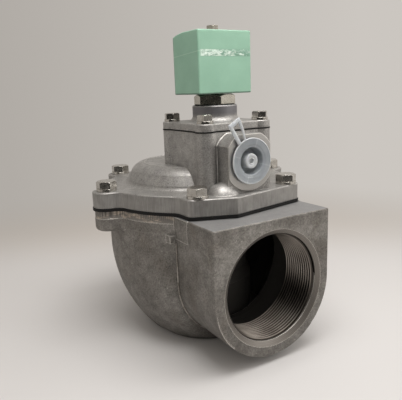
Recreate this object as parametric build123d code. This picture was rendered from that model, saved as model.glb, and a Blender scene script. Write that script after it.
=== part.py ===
from build123d import *
import os
from math import cos, radians, sin, sqrt

os.makedirs("parts", exist_ok=True)

# Millimetres. The origin is the centre of the outlet face, +Z is the main axis, the inlet faces -Y.

# Clearances
slide_gap = 0.3
seat_gap = 0.05
thread_gap = 0.08

# Body shell
body_top = 102.4
shell_r = 70.6
shell_wall = 5.5
bowl_start = 71.5
outlet_rim_r = 42.6
chamber_floor = 11.0
land_r = 58.0
land_depth = 8.0

# Forward bulge of the bowl, behind the inlet block
bulge_r = 67.0
bulge_forward = 11.4
seam_y = 52.3
seam_round = 9.0

# Threaded ports, G 2 1/2 at both ends
port_thread_r = 37.6
port_thread_len = 33.0
port_rim_chamfer = 3.4
port_rim_depth = 2.6
port_bore_r = 35.5
inlet_neck_r = 39.0

# Central tube and main seat
tube_wall = 5.0
seat_bore_r = 34.0
seat_wall = 5.5
seat_rise = 2.2
seat_edge = 1.2
tube_taper = 9.0

# Inlet block
inlet_reach = 99.5
inlet_drop = 48.6
block_r = 48.1
shelf_drop = 0.3
block_edge_round = 1.0
ledge_out = 0.8
ledge_front = 69.0
ledge_tab_out = 5.0
ledge_tab_len = 7.0
ledge_tab_drop = 3.4

# Flange pack
bolt_circle_r = 76.0
bolt_count = 6
flange_r = 71.4
lug_r = 10.6
lug_blend = 9.0
body_flange_t = 15.4
body_flange_round = 3.2
machined_band = 5.6
body_inset = 0.6
band_inset = 0.3
cover_flange_t = 11.5
cover_edge_round = 0.9
membrane_t = 2.2
membrane_overhang = 0.4
facet_angle = 247.2
facet_offset = 82.2
front_edge_angle = 279.9
front_edge_offset = 77.9
front_plate_margin = 8.8
front_corner_r = 4.5
facet_corner_r = 1.2

# Main bolts, M8 with split lock washers
main_bolt_d = 8.0
main_head_af = 13.0
main_head_h = 5.3
main_washer_d = 14.8
main_washer_t = 2.0
main_hole_gap = 0.5
main_engagement = 14.0
washer_slot = 1.1

# Cover dome
dome_foot_r = 54.6
dome_shoulder_r = 50.2
dome_top_r = 43.6
dome_h = 15.0
dome_shoulder_h = 10.4
dome_foot_round = 3.4
dome_wall = 3.2
cavity_r = 55.0

# Pilot tower on the cover
tower_y = 31.3
tower_h = 41.0
tower_panel = 28.1
column_r = 7.1
column_pitch = 46.4
column_blend = 1.6

# Pilot exhaust boss, G 3/4
exhaust_h = 21.4
exhaust_reach = 73.5
exhaust_thread_r = 13.2
exhaust_thread_len = 16.0
exhaust_bore_r = 6.5
exhaust_pad_half = 17.4
exhaust_face_r = 20.4
exhaust_face_rise = 1.2
exhaust_flat_rise = 18.2

# Bleed passage in the front of the cover
bleed_x = 16.5
bleed_y = 64.5
bleed_r = 1.5
bleed_bump_r = 12.2
bleed_bump_rise = 7.6

# Pilot stage
pilot_membrane_t = 0.9
pilot_membrane_overhang = 0.3
pilot_seat_rise = 1.1
pilot_seat_wall = 2.0
pilot_annulus_r = 14.0
pilot_annulus_depth = 6.6
pilot_feed_r = 1.9
pilot_vent_r = 1.2
pilot_vent_reach = 17.6

# Pilot bonnet
bonnet_plate_t = 5.1
bonnet_edge_round = 0.8
bonnet_boss_r = 16.3
bonnet_foot_r = 20.3
bonnet_foot_h = 4.6
bonnet_boss_h = 11.4
bonnet_chamber_h = 2.5
bonnet_pocket_r = 11.5
bonnet_pocket_depth = 5.0
bonnet_floor_t = 3.0
nozzle_r = 3.4
nozzle_bore_r = 1.2
nozzle_h = 1.5

# Pilot bolts, M6 with split lock washers
pilot_bolt_d = 6.0
pilot_head_af = 10.0
pilot_head_h = 4.4
pilot_washer_d = 11.8
pilot_washer_t = 1.8
pilot_engagement = 11.7

# Main diaphragm pieces
top_plate_r = 37.0
top_plate_t = 2.5
top_plate_lip = 1.6
seal_disc_t = 3.5
centre_screw_r = 5.0
centre_head_r = 8.5
centre_head_h = 3.0
centre_nut_af = 16.0
centre_nut_h = 4.0
roll_rise = 3.6
main_spring_r = 14.0
main_spring_wire = 1.7
main_spring_turns = 3.4

# Pilot diaphragm pieces
pilot_plate_r = 9.0
pilot_plate_t = 1.2
pilot_disc_t = 1.5
rivet_r = 1.6
rivet_head_r = 2.8
rivet_head_h = 1.0
pilot_spring_r = 4.6
pilot_spring_wire = 0.7
pilot_spring_turns = 3.5

# Solenoid operator
gasket_t = 0.7
base_af = 26.4
base_hex_h = 6.9
base_turn = 15.0
tube_outer_r = 7.0
tube_seat_rise = 2.0
core_bore_r = 5.6
core_r = 5.35
core_lift = 2.2
core_len = 32.2
core_seat_r = 3.2
core_seat_t = 2.6
core_spring_r = 2.1
core_spring_wire = 0.6
core_spring_turns = 9.0
core_spring_depth = 12.0
plug_body_h = 16.5
shading_ring_r = 4.5
shading_ring_w = 1.0
shading_ring_h = 1.2
stud_r = 2.5
stud_h = 7.7

# Coil
coil_half = 22.0
coil_front = 15.5
coil_back = 24.8
coil_lift = 0.3
coil_h = 42.7
coil_back_drop = 3.8
coil_flat_depth = 20.0
coil_corner_r = 8.0
coil_edge_r = 0.9
winding_r = 13.2
bobbin_wall = 1.2
bobbin_flange_t = 1.6
yoke_t = 2.0
yoke_half = 18.0
yoke_half_w = 10.0
coil_cap_t = 1.5
terminal_w = 6.3
terminal_t = 0.8
terminal_out = 9.5
terminal_in = 5.0
terminal_pitch = 18.0
connector_half = 13.5
connector_rise = 1.6
insert_r = 2.6
insert_hole_r = 1.5
insert_len = 6.0
blade_eye_r = 0.7
blade_eye_in = 3.0
coil_washer_r = 5.0
coil_washer_t = 0.8
coil_nut_af = 8.0
coil_nut_h = 3.6
coil_nut_turn = 57.0

# Exhaust dust cap
cap_flange_r = 15.8
cap_flange_t = 1.2
cap_stand_off = 1.5
cap_plug_len = 9.0
cap_recess_r = 9.2
cap_hub_r = 5.0
cap_hub_drop = 0.8
cap_dimple_r = 1.7
cap_dimple_depth = 2.2
cap_floor_t = 1.2
cap_taper = 0.7
tab_angle = 118.9
tab_end = 31.0
tab_root_w = 7.2
tab_end_w = 10.6
tab_bar = 2.6
tab_t = 1.3

# Worked-out levels
cover_bottom = body_top + membrane_t
deck = cover_bottom + cover_flange_t
inlet_z = body_top - inlet_drop
tower_top = deck + tower_h
exhaust_z = deck + exhaust_h
seat_top = body_top + seat_rise
dome_top = deck + dome_h
cavity_top = dome_top - dome_wall
plate_bottom = seat_top + membrane_t
plate_top = plate_bottom + top_plate_t
tube_r = port_thread_r + tube_wall
seat_r = seat_bore_r + seat_wall
bonnet_bottom = tower_top + pilot_membrane_t
bonnet_deck = bonnet_bottom + bonnet_plate_t
bonnet_top = bonnet_deck + bonnet_boss_h
pilot_seat_top = tower_top + pilot_seat_rise
pilot_seat_r = exhaust_bore_r + pilot_seat_wall
pilot_plate_bottom = pilot_seat_top + pilot_membrane_t
pilot_plate_top = pilot_plate_bottom + pilot_plate_t
pocket_floor = bonnet_top - bonnet_pocket_depth
spring_ceiling = pocket_floor - bonnet_floor_t
nozzle_top = pocket_floor + nozzle_h
base_bottom = bonnet_top + gasket_t
base_top = base_bottom + base_hex_h
core_bottom = nozzle_top + seat_gap
core_top = core_bottom + core_len
plug_bottom = core_top + core_lift
plug_top = plug_bottom + plug_body_h
coil_bottom = base_top + coil_lift
coil_top = coil_bottom + coil_h
coil_bore_r = tube_outer_r + slide_gap

six = [360 / bolt_count * n for n in range(bolt_count)]
columns = [(sx * column_pitch / 2, sy * column_pitch / 2 - tower_y) for sx in (-1, 1) for sy in (-1, 1)]


# General shapes
foot_at_origin = (Align.CENTER, Align.CENTER, Align.MIN)


def disc(r, z0, z1, x=0.0, y=0.0):
    return Pos(x, y, z0) * Cylinder(r, z1 - z0, align=foot_at_origin)


def rod_y(r, y0, y1, x=0.0, z=0.0):
    return Pos(x, y0, z) * Rot(-90, 0, 0) * Cylinder(r, y1 - y0, align=foot_at_origin)


def block(x0, x1, y0, y1, z0, z1):
    return Pos((x0 + x1) / 2, (y0 + y1) / 2, (z0 + z1) / 2) * Box(x1 - x0, y1 - y0, z1 - z0)


def turned(points, x=0.0, y=0.0):
    """A solid of revolution about a vertical axis, from (radius, height) points."""
    return Pos(x, y, 0) * revolve(make_face(Plane.XZ * Polyline(*points, close=True)), Axis.Z)


def hexagon(af, z0, z1, x=0.0, y=0.0, turn=0.0):
    """A hexagonal prism with the corners of its top face turned off at about 30 degrees."""
    prism = extrude(RegularPolygon(af / 2, 6, major_radius=False), z1 - z0)
    corner = af / sqrt(3)
    drop = (corner - af * 0.48) * 0.58
    rim = turned([(0, 0), (corner, 0), (corner, z1 - z0 - drop), (af * 0.48, z1 - z0), (0, z1 - z0)])
    return Pos(x, y, z0) * Rot(0, 0, turn) * (prism & rim)


def coil_spring(radius, wire, turns, z0, z1, x=0.0, y=0.0):
    """An open helical spring whose wire stays between two levels."""
    height = z1 - z0 - wire
    path = Helix(height / turns, height, radius)
    start = Plane(origin=path @ 0, z_dir=path % 0)
    return Pos(x, y, z0 + wire / 2) * sweep(start * Circle(wire / 2), path=path, is_frenet=True)


def half_plane(angle, offset, reach=200.0):
    """The flat region on the inner side of a line whose normal points at the angle."""
    return Rot(0, 0, angle) * Pos(offset - reach / 2, 0) * Rectangle(reach, 2 * reach)


# Flange outlines
def lug_centres(angles):
    return [(bolt_circle_r * cos(radians(a)), bolt_circle_r * sin(radians(a))) for a in angles]


def flange_outline(inset):
    """Disc with four lugs, and a front plate that ends in a facet and a long straight edge."""
    rim = flange_r - inset
    half = bolt_circle_r / 2 + front_plate_margin - inset
    lugs = [Pos(x, y) * Circle(lug_r - inset) for x, y in lug_centres(six) if y > -bolt_circle_r / 2]
    outline = Circle(rim) + lugs + Pos(0, -bolt_circle_r * 0.9) * Rectangle(2 * half, bolt_circle_r * 0.7)
    outline &= half_plane(facet_angle, facet_offset - inset)
    outline &= half_plane(front_edge_angle, front_edge_offset - inset)
    inner = [v for v in outline.vertices() if abs(sqrt(v.X ** 2 + v.Y ** 2) - rim) < 0.01]
    outline = fillet(inner, lug_blend)
    outer = [v for v in outline.vertices() if abs(abs(v.X) - half) < 0.01 and v.Y < -bolt_circle_r * 0.8]
    outline = fillet(outer, front_corner_r)
    tip = [v for v in outline.vertices() if v.Y < -facet_offset * 0.95]
    return fillet(tip, facet_corner_r)


def bolt_holes(radius, z0, z1):
    return [disc(radius, z0, z1, x, y) for x, y in lug_centres(six)]


# Valve body
def bowl_radius(z, offset=0.0):
    """Radius of the bowl at a height; the offset moves the surface inwards along its normal."""
    inset = shell_r - outlet_rim_r
    arc = (inset ** 2 + bowl_start ** 2) / (2 * inset)
    if z >= bowl_start:
        return shell_r - offset
    return shell_r - arc + sqrt((arc - offset) ** 2 - (bowl_start - z) ** 2)


def bowl(offset, z_low, z_high, top_points):
    mid = (z_low + bowl_start) / 2
    low_end, middle, high_end = [(bowl_radius(z, offset), z) for z in (z_low, mid, bowl_start)]
    arc = ThreePointArc(low_end, middle, high_end)
    rest = Polyline(high_end, *top_points, (0, z_high), (0, z_low), low_end)
    return revolve(make_face(Plane.XZ * (arc + rest)), Axis.Z)


def bulge(radius, front, z_low, z_high, rounding):
    """Ball whose front is cut flat across the Y axis, with the cut edge rolled over by a tangent arc."""
    depth = front - bulge_forward
    rim_x = sqrt((radius - rounding) ** 2 - (depth - rounding) ** 2)
    reach = radius / (radius - rounding)
    join = (rim_x * reach, -bulge_forward - (depth - rounding) * reach)
    side = (radius, -bulge_forward)
    skin = ThreePointArc(join, side, (0, radius - bulge_forward))
    edges = [skin, Polyline((0, radius - bulge_forward), (0, -front), (rim_x, -front))]
    if rounding:
        mid_x, mid_y = (rim_x + join[0]) / 2 - rim_x, (-front + join[1]) / 2 + front - rounding
        scale = rounding / sqrt(mid_x ** 2 + mid_y ** 2)
        middle = (rim_x + mid_x * scale, -front + rounding + mid_y * scale)
        edges.append(ThreePointArc((rim_x, -front), middle, join))
    ball = Pos(0, 0, inlet_z) * revolve(make_face(edges), Axis.Y)
    return ball & block(-radius, radius, -front, radius, z_low, z_high)


def inlet_block():
    shelf = body_top - shelf_drop
    face = Circle(block_r) + Pos(0, (shelf - inlet_z) / 2) * Rectangle(2 * block_r, shelf - inlet_z)
    front = Plane(origin=(0, -inlet_reach, inlet_z), x_dir=(1, 0, 0), z_dir=(0, -1, 0))
    prism = extrude(front * face, -inlet_reach)
    rim = [e for e in prism.edges() if abs(e.center().Y + inlet_reach) < 0.01]
    top = [e for e in prism.edges() if abs(e.center().Z - shelf) < 0.01 and abs(e.center().X) > block_r - 0.1]
    return fillet(rim + top, block_edge_round)


def body_flange():
    low = body_top - body_flange_t
    step = body_top - machined_band
    lower = extrude(Pos(0, 0, low) * flange_outline(body_inset), step - low)
    lower = fillet(lower.edges().group_by(Axis.Z)[0], body_flange_round)
    upper = extrude(Pos(0, 0, step) * flange_outline(body_inset + band_inset), machined_band)
    return lower + upper


def port_cutter():
    """Thread bore that opens at z = 0, with its mouth turned out by a chamfer."""
    mouth = port_thread_r + port_rim_chamfer
    return turned([(0, -1), (mouth, -1), (mouth, 0), (port_thread_r, port_rim_depth),
                   (port_thread_r, port_thread_len), (0, port_thread_len)])


def valve_body():
    flange_low = body_top - body_flange_t
    solid = bowl(0, 0, flange_low + 4, [(shell_r, flange_low + 4)])
    solid += bulge(bulge_r, seam_y, 0, flange_low, seam_round)
    solid += inlet_block()
    solid += body_flange()
    # ledge under the flange beside the block, on both sides
    for side in (-1, 1):
        ledge = block(block_r - 3, block_r + ledge_out, -ledge_front, -seam_y + 3, flange_low - 0.5,
                      body_top - shelf_drop)
        tab = block(block_r - 3, block_r + ledge_tab_out, -seam_y, -seam_y + ledge_tab_len,
                    flange_low - ledge_tab_drop, flange_low + 2)
        for piece in (ledge, tab):
            solid += piece if side > 0 else mirror(piece, Plane.YZ)
    # hollow chamber round the central tube
    inner = shell_r - shell_wall
    cone = flange_low + 1
    chamber = bowl(shell_wall, chamber_floor, body_top + 1,
                   [(inner, cone), (land_r, body_top - land_depth), (land_r, body_top + 1)])
    chamber += bulge(bulge_r - shell_wall, seam_y - shell_wall, chamber_floor, flange_low - 2, 0)
    solid -= chamber
    tube_step = port_thread_len + tube_wall
    solid += turned([(0, 0), (outlet_rim_r - 2, 0), (tube_r, 6), (tube_r, tube_step),
                     (seat_r, tube_step + tube_taper),
                     (seat_r, seat_top - seat_edge), (seat_r - seat_edge, seat_top), (0, seat_top)])
    # ports
    solid -= disc(port_thread_r, -1, port_thread_len)
    solid -= turned([(0, port_thread_len - 1), (port_bore_r, port_thread_len - 1),
                     (port_bore_r, port_thread_len + 2),
                     (seat_bore_r, port_thread_len + 6), (seat_bore_r, seat_top + 1), (0, seat_top + 1)])
    solid -= Pos(0, -inlet_reach, inlet_z) * Rot(-90, 0, 0) * port_cutter()
    solid -= rod_y(inlet_neck_r, -inlet_reach + port_thread_len - 1, -seam_y + shell_wall + 1, z=inlet_z)
    # tapped bolt holes and the bleed drilling
    for (x, y), angle in zip(lug_centres(six), six):
        depth = main_engagement + 3 if angle in (240, 300) else body_flange_t + 1
        solid -= disc(main_bolt_d / 2, body_top - depth, body_top + 1, x, y)
    solid -= disc(bleed_r, inlet_z + port_thread_r * 0.7, body_top + 1, -bleed_x, -bleed_y)
    return solid


# Main diaphragm: a flat rim, a rolled ring and a flat centre
def main_diaphragm():
    rim = extrude(Pos(0, 0, body_top) * flange_outline(-membrane_overhang), membrane_t)
    inner = land_r - 4
    rim -= disc(inner, body_top - 1, cover_bottom + 1)
    flat_r = seat_r + 3
    roll_r = (flat_r + inner) / 2
    under = Spline((inner, body_top), (roll_r, seat_top + roll_rise - 0.4), (flat_r, seat_top),
                   tangents=((-0.25, 1), (-0.35, -1)))
    over = Spline((flat_r - 0.8, plate_bottom), (roll_r, plate_bottom + roll_rise),
                  (inner + 0.8, cover_bottom),
                  tangents=((0.5, 1), (0.5, -1)))
    hole = centre_screw_r + seat_gap
    inner_end = Polyline(under @ 1, (hole, seat_top), (hole, plate_bottom), over @ 0)
    outer_end = Polyline(over @ 1, (inner + 4, cover_bottom), (inner + 4, body_top), under @ 0)
    solid = rim + revolve(make_face(Plane.XZ * (under + inner_end + over + outer_end)), Axis.Z)
    for hole_cut in bolt_holes(main_bolt_d / 2 + main_hole_gap, body_top - 1, cover_bottom + 1):
        solid -= hole_cut
    return solid - disc(bleed_r + 0.5, body_top - 1, cover_bottom + 1, -bleed_x, -bleed_y)


# Main cover: flange, dome, pilot tower and exhaust boss in one casting
def dome_outer():
    """Half profile of the dome with a rounded foot and a rounded shoulder."""
    foot = dome_foot_round
    foot_arc = ThreePointArc((dome_foot_r + foot, deck), (dome_foot_r + foot * 0.25, deck + foot * 0.22),
                             (dome_foot_r - 0.7, deck + foot))
    side = Line(foot_arc @ 1, (dome_shoulder_r, deck + dome_shoulder_h))
    shoulder = ThreePointArc(side @ 1, (dome_shoulder_r - 2.6, dome_top - 2.0), (dome_top_r, dome_top))
    rest = Polyline(shoulder @ 1, (0, dome_top), (0, deck - 1), (dome_foot_r + foot, deck - 1), foot_arc @ 0)
    return revolve(make_face(Plane.XZ * (foot_arc + side + shoulder + rest)), Axis.Z)


def tower_outline(inset=0.0):
    square = Rectangle(2 * (tower_panel - inset), 2 * (tower_panel - inset))
    posts = [Pos(x, y + tower_y) * Circle(column_r - inset) for x, y in columns]
    outline = square + posts
    corners = [v for v in outline.vertices() if abs(abs(v.X) - abs(v.Y)) > 1]
    return Pos(0, -tower_y) * fillet(corners, column_blend)


def exhaust_boss():
    """Inverted U against the tower's front panel, with a turned face that its sides and top trim."""
    plane = Plane(origin=(0, -exhaust_reach, exhaust_z), x_dir=(1, 0, 0), z_dir=(0, -1, 0))
    drop = exhaust_z - deck + 1
    wide, high = 2 * exhaust_pad_half, exhaust_flat_rise + drop
    window = Pos(0, (exhaust_flat_rise - drop) / 2) * Rectangle(wide, high)
    arch = Circle(exhaust_face_r) + Pos(0, -drop / 2) * Rectangle(wide, drop)
    depth = exhaust_reach - tower_y - tower_panel + 4
    pad = extrude(plane * (arch & window), -depth)
    pad &= block(-wide, wide, -exhaust_reach + exhaust_face_rise, 0, 0, tower_top)
    return pad + extrude(plane * (Circle(exhaust_face_r) & window), -exhaust_face_rise - 1)


def main_cover():
    plate = extrude(Pos(0, 0, cover_bottom) * flange_outline(0), cover_flange_t)
    plate = fillet(plate.edges().group_by(Axis.Z)[-1], cover_edge_round)
    solid = plate + dome_outer()
    solid += extrude(Pos(0, 0, deck - 1) * tower_outline(), tower_top - deck + 1)
    solid += exhaust_boss()
    mound = Pos(-bleed_x, -bleed_y, deck + bleed_bump_rise - bleed_bump_r) * Sphere(bleed_bump_r)
    solid += mound & extrude(Pos(0, 0, cover_bottom) * flange_outline(0), cover_flange_t + bleed_bump_rise)
    # pressure chamber above the main diaphragm
    solid -= turned([(0, cover_bottom - 1), (cavity_r, cover_bottom - 1), (cavity_r, deck - 3),
                     (dome_shoulder_r - 2, deck + 3), (dome_shoulder_r - dome_wall, deck + 7),
                     (dome_top_r - 2, cavity_top), (0, cavity_top)])
    # exhaust port and the pilot seat bore that meets it
    solid -= rod_y(exhaust_thread_r, -exhaust_reach - 1, -exhaust_reach + exhaust_thread_len, z=exhaust_z)
    solid -= rod_y(exhaust_bore_r, -exhaust_reach + 1, -tower_y, z=exhaust_z)
    annulus_floor = tower_top - pilot_annulus_depth
    ring = [(pilot_seat_r, annulus_floor), (pilot_annulus_r, annulus_floor), (pilot_annulus_r, tower_top + 1),
            (pilot_seat_r, tower_top + 1)]
    solid -= turned(ring, y=-tower_y)
    solid += disc(pilot_seat_r, annulus_floor - 1, pilot_seat_top, y=-tower_y)
    solid -= disc(exhaust_bore_r, exhaust_z, pilot_seat_top + 1, y=-tower_y)
    # feed drillings from the main chamber, and the vent drilling to the exhaust
    feed_reach = (pilot_seat_r + pilot_annulus_r) / 2
    for side in (-1, 1):
        solid -= disc(pilot_feed_r, cavity_top - 1, annulus_floor + 1, side * feed_reach, -tower_y)
    solid -= disc(pilot_vent_r, exhaust_z, tower_top + 1, y=-tower_y - pilot_vent_reach)
    # bleed passage from the inlet
    solid -= disc(bleed_r, cover_bottom - 1, deck, -bleed_x, -bleed_y)
    span = sqrt(bleed_x ** 2 + bleed_y ** 2) - cavity_r + 4
    inward = Plane(origin=(-bleed_x, -bleed_y, deck - 5), z_dir=(bleed_x, bleed_y, 0))
    solid -= extrude(inward * Circle(bleed_r), span)
    for hole in bolt_holes(main_bolt_d / 2 + main_hole_gap, cover_bottom - 1, deck + 1):
        solid -= hole
    for x, y in columns:
        solid -= disc(pilot_bolt_d / 2, tower_top - pilot_engagement - 2.5, tower_top + 1, x, y)
    return solid


# Pilot diaphragm and bonnet
def pilot_diaphragm():
    flat = pilot_seat_r + 0.6
    clamp = pilot_annulus_r - 0.6
    sheet = turned([(rivet_r + seat_gap, pilot_seat_top), (flat, pilot_seat_top), (clamp, tower_top),
                    (clamp + 2, tower_top), (clamp + 2, bonnet_bottom), (clamp - 0.4, bonnet_bottom),
                    (flat - 0.4, pilot_plate_bottom),
                    (rivet_r + seat_gap, pilot_plate_bottom)], y=-tower_y)
    rim = extrude(Pos(0, 0, tower_top) * tower_outline(-pilot_membrane_overhang), pilot_membrane_t)
    solid = rim - disc(clamp, 0, bonnet_top, y=-tower_y) + sheet
    for x, y in columns:
        solid -= disc(pilot_bolt_d / 2 + 0.3, tower_top - 1, bonnet_bottom + 1, x, y)
    return solid - disc(pilot_vent_r, tower_top - 1, bonnet_bottom + 1, y=-tower_y - pilot_vent_reach)


def pilot_bonnet():
    plate = extrude(Pos(0, 0, bonnet_bottom) * tower_outline(), bonnet_plate_t)
    plate = fillet(plate.edges().group_by(Axis.Z)[-1], bonnet_edge_round)
    # boss that flares out to its foot in a hollow round
    run = bonnet_foot_r - bonnet_boss_r
    flare = ThreePointArc((bonnet_foot_r, bonnet_deck),
                          (bonnet_boss_r + run * 0.28, bonnet_deck + bonnet_foot_h * 0.3),
                          (bonnet_boss_r, bonnet_deck + bonnet_foot_h))
    side = Polyline(flare @ 1, (bonnet_boss_r, bonnet_top - 0.6), (bonnet_boss_r - 0.6, bonnet_top),
                    (0, bonnet_top), (0, bonnet_deck - 1), (bonnet_foot_r, bonnet_deck - 1), flare @ 0)
    boss = revolve(make_face(Plane.XZ * (flare + side)), Axis.Z)
    solid = plate + Pos(0, -tower_y, 0) * boss
    solid -= disc(pilot_annulus_r, bonnet_bottom - 1, bonnet_bottom + bonnet_chamber_h, y=-tower_y)
    solid -= disc(pilot_plate_r + 0.5, bonnet_bottom, spring_ceiling, y=-tower_y)
    solid -= turned([(nozzle_r, pocket_floor), (bonnet_pocket_r, pocket_floor),
                     (bonnet_pocket_r, bonnet_top + 1),
                     (0, bonnet_top + 1), (0, nozzle_top), (nozzle_r - 1, nozzle_top),
                     (nozzle_r, nozzle_top - 1)],
                    y=-tower_y)
    solid -= disc(nozzle_bore_r, spring_ceiling - 1, nozzle_top + 1, y=-tower_y)
    # slanted vent drilling from the edge of the pocket down to the tower
    rise = pocket_floor - bonnet_bottom
    inward = pilot_vent_reach - bonnet_pocket_r + 1.0
    slope = sqrt(inward ** 2 + rise ** 2)
    slant = Plane(origin=(0, -tower_y - pilot_vent_reach, bonnet_bottom), z_dir=(0, inward, rise))
    solid -= slant * Pos(0, 0, slope / 2) * Cylinder(pilot_vent_r, slope + 2.4)
    for x, y in columns:
        solid -= disc(pilot_bolt_d / 2 + 0.3, bonnet_bottom - 1, bonnet_deck + 1, x, y)
    return solid


# Fasteners
def hex_bolt(d, af, head_h, under_head, tip, x, y, turn):
    head = hexagon(af, under_head, under_head + head_h, x, y, turn)
    shank = turned([(0, tip), (d / 2 - thread_gap - 0.8, tip), (d / 2 - thread_gap, tip + 0.8),
                    (d / 2 - thread_gap, under_head), (0, under_head)], x, y)
    return head + shank


def lock_washer(d, outer, t, z0, x, y, turn):
    ring = disc(outer / 2, z0, z0 + t, x, y) - disc(d / 2 + 0.2, z0 - 1, z0 + t + 1, x, y)
    slot = Pos(outer / 2, 0, 0) * Rot(30, 0, 0) * Box(outer / 2, washer_slot, 4 * t)
    return ring - Pos(x, y, z0 + t / 2) * Rot(0, 0, turn) * slot


def main_bolts():
    top = deck + main_washer_t
    turns = (8, 22, 23, 30, 55, 30)
    tip = body_top - main_engagement
    return Compound([hex_bolt(main_bolt_d, main_head_af, main_head_h, top, tip, x, y, turn)
                     for (x, y), turn in zip(lug_centres(six), turns)])


def main_lock_washers():
    return Compound([lock_washer(main_bolt_d, main_washer_d, main_washer_t, deck, x, y, angle + 75)
                     for (x, y), angle in zip(lug_centres(six), six)])


def pilot_bolts():
    top = bonnet_deck + pilot_washer_t
    turns = (54, 14, 43, 5)
    tip = tower_top - pilot_engagement
    return Compound([hex_bolt(pilot_bolt_d, pilot_head_af, pilot_head_h, top, tip, x, y, turn)
                     for (x, y), turn in zip(columns, turns)])


def pilot_lock_washers():
    return Compound([lock_washer(pilot_bolt_d, pilot_washer_d, pilot_washer_t, bonnet_deck, x, y, 40 + 90 * n)
                     for n, (x, y) in enumerate(columns)])


# Moving pieces of the main stage
def seal_disc():
    r = seat_bore_r - 0.7
    hole = centre_screw_r + seat_gap
    low = seat_top - seal_disc_t
    return turned([(hole, low), (r - 2, low), (r, seat_top - 1), (r, seat_top), (hole, seat_top)])


def top_plate():
    hole = centre_screw_r + seat_gap
    lip = main_spring_r + main_spring_wire
    lip_top = plate_top + top_plate_lip
    return turned([(hole, plate_bottom), (top_plate_r, plate_bottom), (top_plate_r, plate_bottom + 1),
                   (top_plate_r - 1, plate_top), (lip + 2.4, plate_top), (lip + 2.0, lip_top),
                   (lip + 0.9, lip_top), (lip + 0.5, plate_top), (hole, plate_top)])


def centre_screw():
    low = seat_top - seal_disc_t
    tip = plate_top + centre_nut_h + 1.2
    head = low - centre_head_h
    return turned([(0, head), (centre_head_r - 1, head), (centre_head_r, head + 1), (centre_head_r, low),
                   (centre_screw_r, low), (centre_screw_r, tip - 0.8), (centre_screw_r - 0.8, tip), (0, tip)])


def centre_nut():
    nut = hexagon(centre_nut_af, plate_top, plate_top + centre_nut_h)
    return nut - disc(centre_screw_r + seat_gap, 0, cavity_top)


def main_spring():
    return coil_spring(main_spring_r, main_spring_wire, main_spring_turns, plate_top, cavity_top)


# Moving pieces of the pilot stage
def pilot_seal_disc():
    r = exhaust_bore_r - 0.5
    hole = rivet_r + seat_gap
    low = pilot_seat_top - pilot_disc_t
    return turned([(hole, low), (r - 0.6, low), (r, pilot_seat_top - 0.6), (r, pilot_seat_top),
                   (hole, pilot_seat_top)], y=-tower_y)


def pilot_plate():
    return turned([(rivet_r + seat_gap, pilot_plate_bottom), (pilot_plate_r, pilot_plate_bottom),
                   (pilot_plate_r, pilot_plate_top - 0.4), (pilot_plate_r - 0.4, pilot_plate_top),
                   (rivet_r + seat_gap, pilot_plate_top)], y=-tower_y)


def pilot_rivet():
    low = pilot_seat_top - pilot_disc_t
    high = pilot_plate_top + rivet_head_h
    return turned([(0, low - rivet_head_h), (rivet_head_r, low - rivet_head_h), (rivet_head_r, low),
                   (rivet_r, low), (rivet_r, pilot_plate_top), (rivet_head_r, pilot_plate_top),
                   (rivet_head_r - 0.5, high), (0, high)], y=-tower_y)


def pilot_spring():
    return coil_spring(pilot_spring_r, pilot_spring_wire, pilot_spring_turns, pilot_plate_top, spring_ceiling,
                       y=-tower_y)


# Solenoid operator
def base_gasket():
    return turned([(bonnet_pocket_r + seat_gap, bonnet_top), (bonnet_boss_r - 1.7, bonnet_top),
                   (bonnet_boss_r - 1.7, base_bottom), (bonnet_pocket_r + seat_gap, base_bottom)], y=-tower_y)


def solenoid_base():
    hexed = hexagon(base_af, base_bottom, base_top, y=-tower_y, turn=base_turn)
    spigot = disc(bonnet_pocket_r - thread_gap, pocket_floor + 0.6, base_bottom + 0.5, y=-tower_y)
    core_way = disc(core_bore_r, pocket_floor, base_top + 1, y=-tower_y)
    tube_seat = disc(tube_outer_r + seat_gap, base_bottom + tube_seat_rise, base_top + 1, y=-tower_y)
    return hexed + spigot - core_way - tube_seat


def core_tube():
    tube = disc(tube_outer_r, base_bottom + tube_seat_rise, plug_top, y=-tower_y)
    return tube - disc(core_bore_r, base_bottom, plug_top + 1, y=-tower_y)


def plug_nut():
    outer, inner = shading_ring_r, shading_ring_r - shading_ring_w
    deep = plug_bottom + shading_ring_h + 2 * seat_gap
    groove = turned([(inner, plug_bottom - 1), (outer, plug_bottom - 1), (outer, deep), (inner, deep)],
                    y=-tower_y)
    body = disc(core_bore_r - seat_gap, plug_bottom, plug_top, y=-tower_y)
    return body + disc(stud_r, plug_top, plug_top + stud_h, y=-tower_y) - groove


def shading_ring():
    outer, inner = shading_ring_r - seat_gap, shading_ring_r - shading_ring_w + seat_gap
    high = plug_bottom + shading_ring_h
    return turned([(inner, plug_bottom), (outer, plug_bottom), (outer, high), (inner, high)], y=-tower_y)


def core():
    body = turned([(0, core_bottom), (core_r - 1.2, core_bottom), (core_r, core_bottom + 1.2),
                   (core_r, core_top - 0.5),
                   (core_r - 0.5, core_top), (0, core_top)], y=-tower_y)
    pocket = core_spring_r + core_spring_wire / 2 + 0.5
    body -= disc(pocket, core_top - core_spring_depth, core_top + 1, y=-tower_y)
    return body - disc(core_seat_r + seat_gap, core_bottom - 1, core_bottom + core_seat_t, y=-tower_y)


def core_seat():
    return disc(core_seat_r, core_bottom, core_bottom + core_seat_t, y=-tower_y)


def core_spring():
    return coil_spring(core_spring_r, core_spring_wire, core_spring_turns, core_top - core_spring_depth,
                       plug_bottom, y=-tower_y)


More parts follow.
